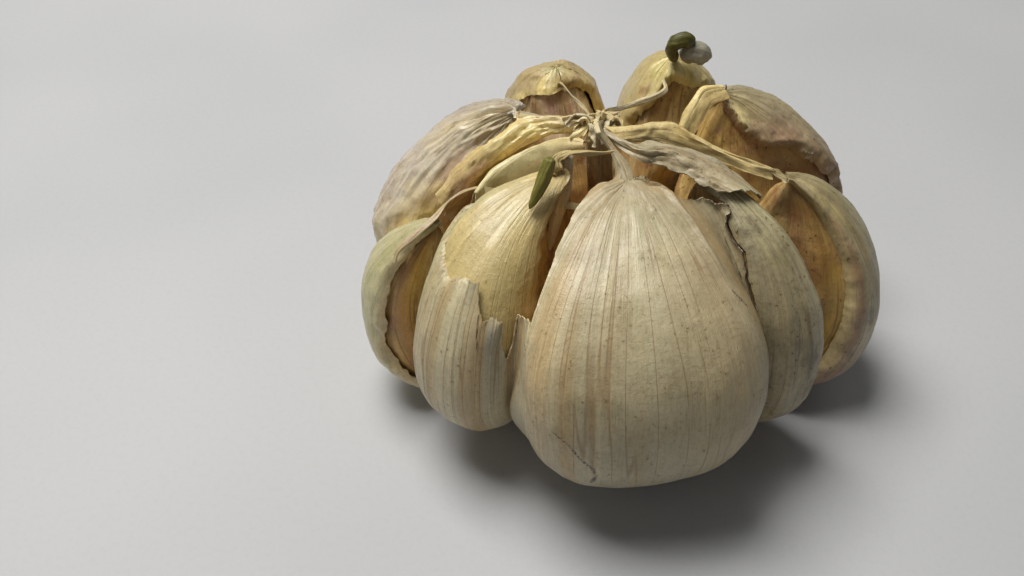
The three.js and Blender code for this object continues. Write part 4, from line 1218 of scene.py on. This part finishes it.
def make_neck():
    low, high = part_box("neck")
    bpy.ops.mesh.primitive_cylinder_add(vertices=48, radius=1, depth=1, end_fill_type="TRIFAN")
    stalk = bpy.context.object
    stalk.name = "neck_stub"
    bpy.ops.object.mode_set(mode="EDIT")
    bpy.ops.mesh.select_all(action="SELECT")
    bpy.ops.mesh.subdivide(number_cuts=12)
    bpy.ops.object.mode_set(mode="OBJECT")
    place = np.zeros(len(stalk.data.vertices) * 3)
    stalk.data.vertices.foreach_get("co", place)
    place = place.reshape(-1, 3)
    share = place[:, 2] + 0.5
    angle = np.arctan2(place[:, 1], place[:, 0]) + 1.8 * share
    reach = np.hypot(place[:, 0], place[:, 1])
    radius = reach * (2.5 - 0.7 * share) * (1 + 0.13 * np.sin(angle * 7) + 0.06 * np.sin(angle * 13 + 2))
    points = np.stack([NECK_LEAN * ease(0.1, 1, share) + radius * np.cos(angle), radius * np.sin(angle),
                       low.z / MM + (high.z - low.z) / MM * share - 0.6 * reach * ease(0.98, 1, share)],
                       -1) * MM
    stalk.data.vertices.foreach_set("co", points.ravel())
    wobble = lumps(points, 3.0, 50, 3)
    # The stub is painted darker low down, as painted shade in the hollow round it.
    depth = ease(36, 46, points[:, 2] / MM)[:, None]
    tone = (STRAW_IN_PAINTED_SHADE * (1 - depth) + STRAW_PALE * depth) * (1 + 0.2 * wobble[:, None])
    dress(stalk, tone, np.stack([angle * 2.4, reach * 2, share * 40], -1), np.clip(0.5 + wobble, 0, 1))
    bpy.ops.object.shade_smooth_by_angle(angle=math.radians(60))
    return stalk


def make_shreds():
    """Torn fibres of old leaves that cross over one another on top of the neck."""
    shreds = []
    chance = random.Random(12)
    for i in range(20):
        way = chance.uniform(0, math.tau)
        reach = chance.uniform(2.0, 5.5)
        base = Vector((NECK_LEAN + chance.uniform(-1.6, 1.6), chance.uniform(-1.4, 1.4),
                       chance.uniform(47.0, 49.2)))
        out = Vector((math.cos(way), math.sin(way), 0))
        turned = Vector((-math.sin(way), math.cos(way), 0)) * chance.uniform(-1.6, 1.6)
        top = min(base.z + chance.uniform(0, 1.2), 49.9)
        crest = base + out * reach * 0.25 + turned * 0.5 + Vector((0, 0, top - base.z))
        end = base + out * reach + Vector((0, 0, -chance.uniform(0.2, 1.2)))
        stations = np.array([base - Vector((0, 0, 0.4)), crest, base + out * reach * 0.6 + turned, end])
        pale = chance.uniform(0.75, 1.15)
        tone = [c * pale for c in chance.choice(((0.98, 0.88, 0.62), (0.90, 0.78, 0.52), (0.95, 0.78, 0.42)))]
        shreds.append(make_strip("neck_shred", stations * MM, chance.uniform(1.2, 2.8),
                                 chance.uniform(-2.5, 2.5), roll=1.6, tone=tone, ends=(0.7, 0.5), seed=60 + i))
    bpy.ops.object.select_all(action="DESELECT")
    for shred in shreds:
        shred.select_set(True)
    bpy.context.view_layer.objects.active = shreds[0]
    bpy.ops.object.join()
    shreds[0].name = "neck_shreds"
    return shreds[0]


finish_piece(make_neck(), straw, "dried_neck", "neck")
finish_piece(make_shreds(), straw, "dried_neck", "neck")


# ---------------------------------------------------------------------------
# The root plate.
# A small corky disc under the bulb that the cloves stand on. It is plain and
# a little rough, and rounded under its rim.

cork = skin_finish("root_plate", (0.12, 0.075, 0.04), 0.4, (0.26, 0.18, 0.10), 0.5, (0.16, 0.10, 0.055), 0.7,
                   freckle_share=0.6, rough=0.75, bump=1.0)


def make_root_plate():
    low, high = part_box("basal_plate")
    radius = (high.x - low.x) / 2
    bpy.ops.mesh.primitive_cylinder_add(vertices=96, radius=radius, depth=high.z - low.z,
                                        end_fill_type="TRIFAN", location=(0, 0, (high.z + low.z) / 2))
    plate = bpy.context.object
    plate.name = "root_plate_cork"
    bpy.ops.object.mode_set(mode="EDIT")
    bpy.ops.mesh.select_all(action="SELECT")
    bpy.ops.mesh.subdivide(number_cuts=6)
    bpy.ops.object.mode_set(mode="OBJECT")
    bpy.ops.object.transform_apply(location=True, rotation=True, scale=True)
    points = np.array([v.co[:] for v in plate.data.vertices])
    reach = np.hypot(points[:, 0], points[:, 1]) / radius
    rough = lumps(points, 1.6, 60, 3)
    under = points[:, 2] < low.z + 0.4 * (high.z - low.z)
    points[:, :2] *= (1 - 0.06 * under * reach - 0.03 * (rough + 1) * (reach > 0.9))[:, None]
    points[:, 2] += np.where(under, 0.45 * ease(0.80, 1, reach) + 0.12 * (rough + 1), 0) * MM
    plate.data.vertices.foreach_set("co", points.ravel())
    tone = np.ones(points.shape) * (0.30, 0.21, 0.12) * (1 + 0.3 * rough[:, None])
    dress(plate, tone, points / MM, np.clip(0.6 + rough, 0, 1))
    bpy.ops.object.shade_smooth_by_angle(angle=math.radians(50))
    return plate


finish_piece(make_root_plate(), cork, "root_plate", "basal_plate")


# ---------------------------------------------------------------------------
# The green shoots.
# Two cloves have begun to sprout: a small green shoot lies against the front
# left clove, and a hooked one stands on the back clove beside a clear sheath.

shoot_green = skin_finish("green_shoot", (0.06, 0.06, 0.012), 0.5, (0.15, 0.14, 0.02), 0.5,
                          (0.26, 0.22, 0.06), 0.4, freckle_share=0.3, rough=0.38, bump=0.6, coat=0.25)
sheath_clear = skin_finish("clear_sheath", (0.30, 0.26, 0.18), 0.3, (0.36, 0.34, 0.26), 0.4,
                           (0.40, 0.38, 0.30), 0.4, freckle_share=0.1, rough=0.34, bump=0.5, coat=0.3)


def make_shoot(name, stations, radii, flat, tone, seed):
    """A rounded shoot along a line, with soft ribs and a closed tip."""
    bpy.ops.mesh.primitive_uv_sphere_add(segments=40, ring_count=48, radius=1)
    shoot = bpy.context.object
    shoot.name = name
    place = np.array([v.co[:] for v in shoot.data.vertices])
    share = 1 - np.arccos(np.clip(place[:, 2], -1, 1)) / math.pi
    angle = np.arctan2(place[:, 1], place[:, 0])
    middle = along_line(stations, share)
    ahead = unit(along_line(stations, share + 0.03) - along_line(stations, share - 0.03))
    across = unit(np.cross(ahead, (0.2, 0.3, 0.9)))
    up = np.cross(across, ahead)
    ends = np.sqrt(np.clip(np.minimum(share, 1 - share) * 9, 0, 1))
    radius = np.interp(share, np.linspace(0, 1, len(radii)), radii) * ends
    radius = radius * (1 + 0.05 * np.sin(4 * angle + 3 * share + seed) + 0.03 * np.sin(9 * angle - 4 * share))
    radius = radius * (1 + 0.05 * lumps(middle + across * radius[:, None] * MM, 2.0, seed, 2))
    offset = across * (np.cos(angle) * radius * flat)[:, None] + up * (np.sin(angle) * radius)[:, None]
    points = middle + offset * MM
    shoot.data.vertices.foreach_set("co", points.ravel())
    wobble = lumps(points, 1.5, seed + 3, 2)
    colour = np.ones(points.shape) * tone * (1 + 0.3 * wobble[:, None])
    dress(shoot, colour, np.stack([np.cos(angle) * 2, np.sin(angle) * 2, share * 12], -1),
          np.clip(0.4 + wobble, 0, 1))
    bpy.ops.object.mode_set(mode="EDIT")
    bpy.ops.mesh.select_all(action="SELECT")
    bpy.ops.mesh.normals_make_consistent(inside=False)
    bpy.ops.object.mode_set(mode="OBJECT")
    bpy.ops.object.shade_smooth()
    return shoot


finish_piece(make_shoot("shoot_front_left", polar([(21.6, -36, 43.0), (19.2, -36.5, 45.4), (17.4, -37.6, 47.6),
                                                   (16.3, -38.6, 49.4)]),
                        [0.4, 1.0, 1.3, 1.3, 1.05], 0.8, (0.23, 0.21, 0.035), 1),
             shoot_green, "green_shoot", "sprout_front_left")
finish_piece(make_shoot("shoot_back", polar([(28.5, 163, 44), (27.4, 164.4, 46.4), (26.8, 163, 48.4),
                                             (27.6, 160, 48.9), (28.4, 157.6, 47.8)]),
                        [0.9, 1.2, 1.35, 1.4, 1.2], 0.9, (0.11, 0.105, 0.018), 2),
             shoot_green, "green_shoot", "sprout_back")
finish_piece(make_shoot("sheath_back", polar([(28.4, 160.5, 44.6), (28.6, 158, 46.2), (29.2, 155, 46.2),
                                              (30, 153.2, 44.6)]),
                        [1.2, 1.8, 2.0, 1.9, 1.4], 0.8, (0.42, 0.40, 0.31), 3),
             sheath_clear, "silver_skin", "sprout_sheath_back")
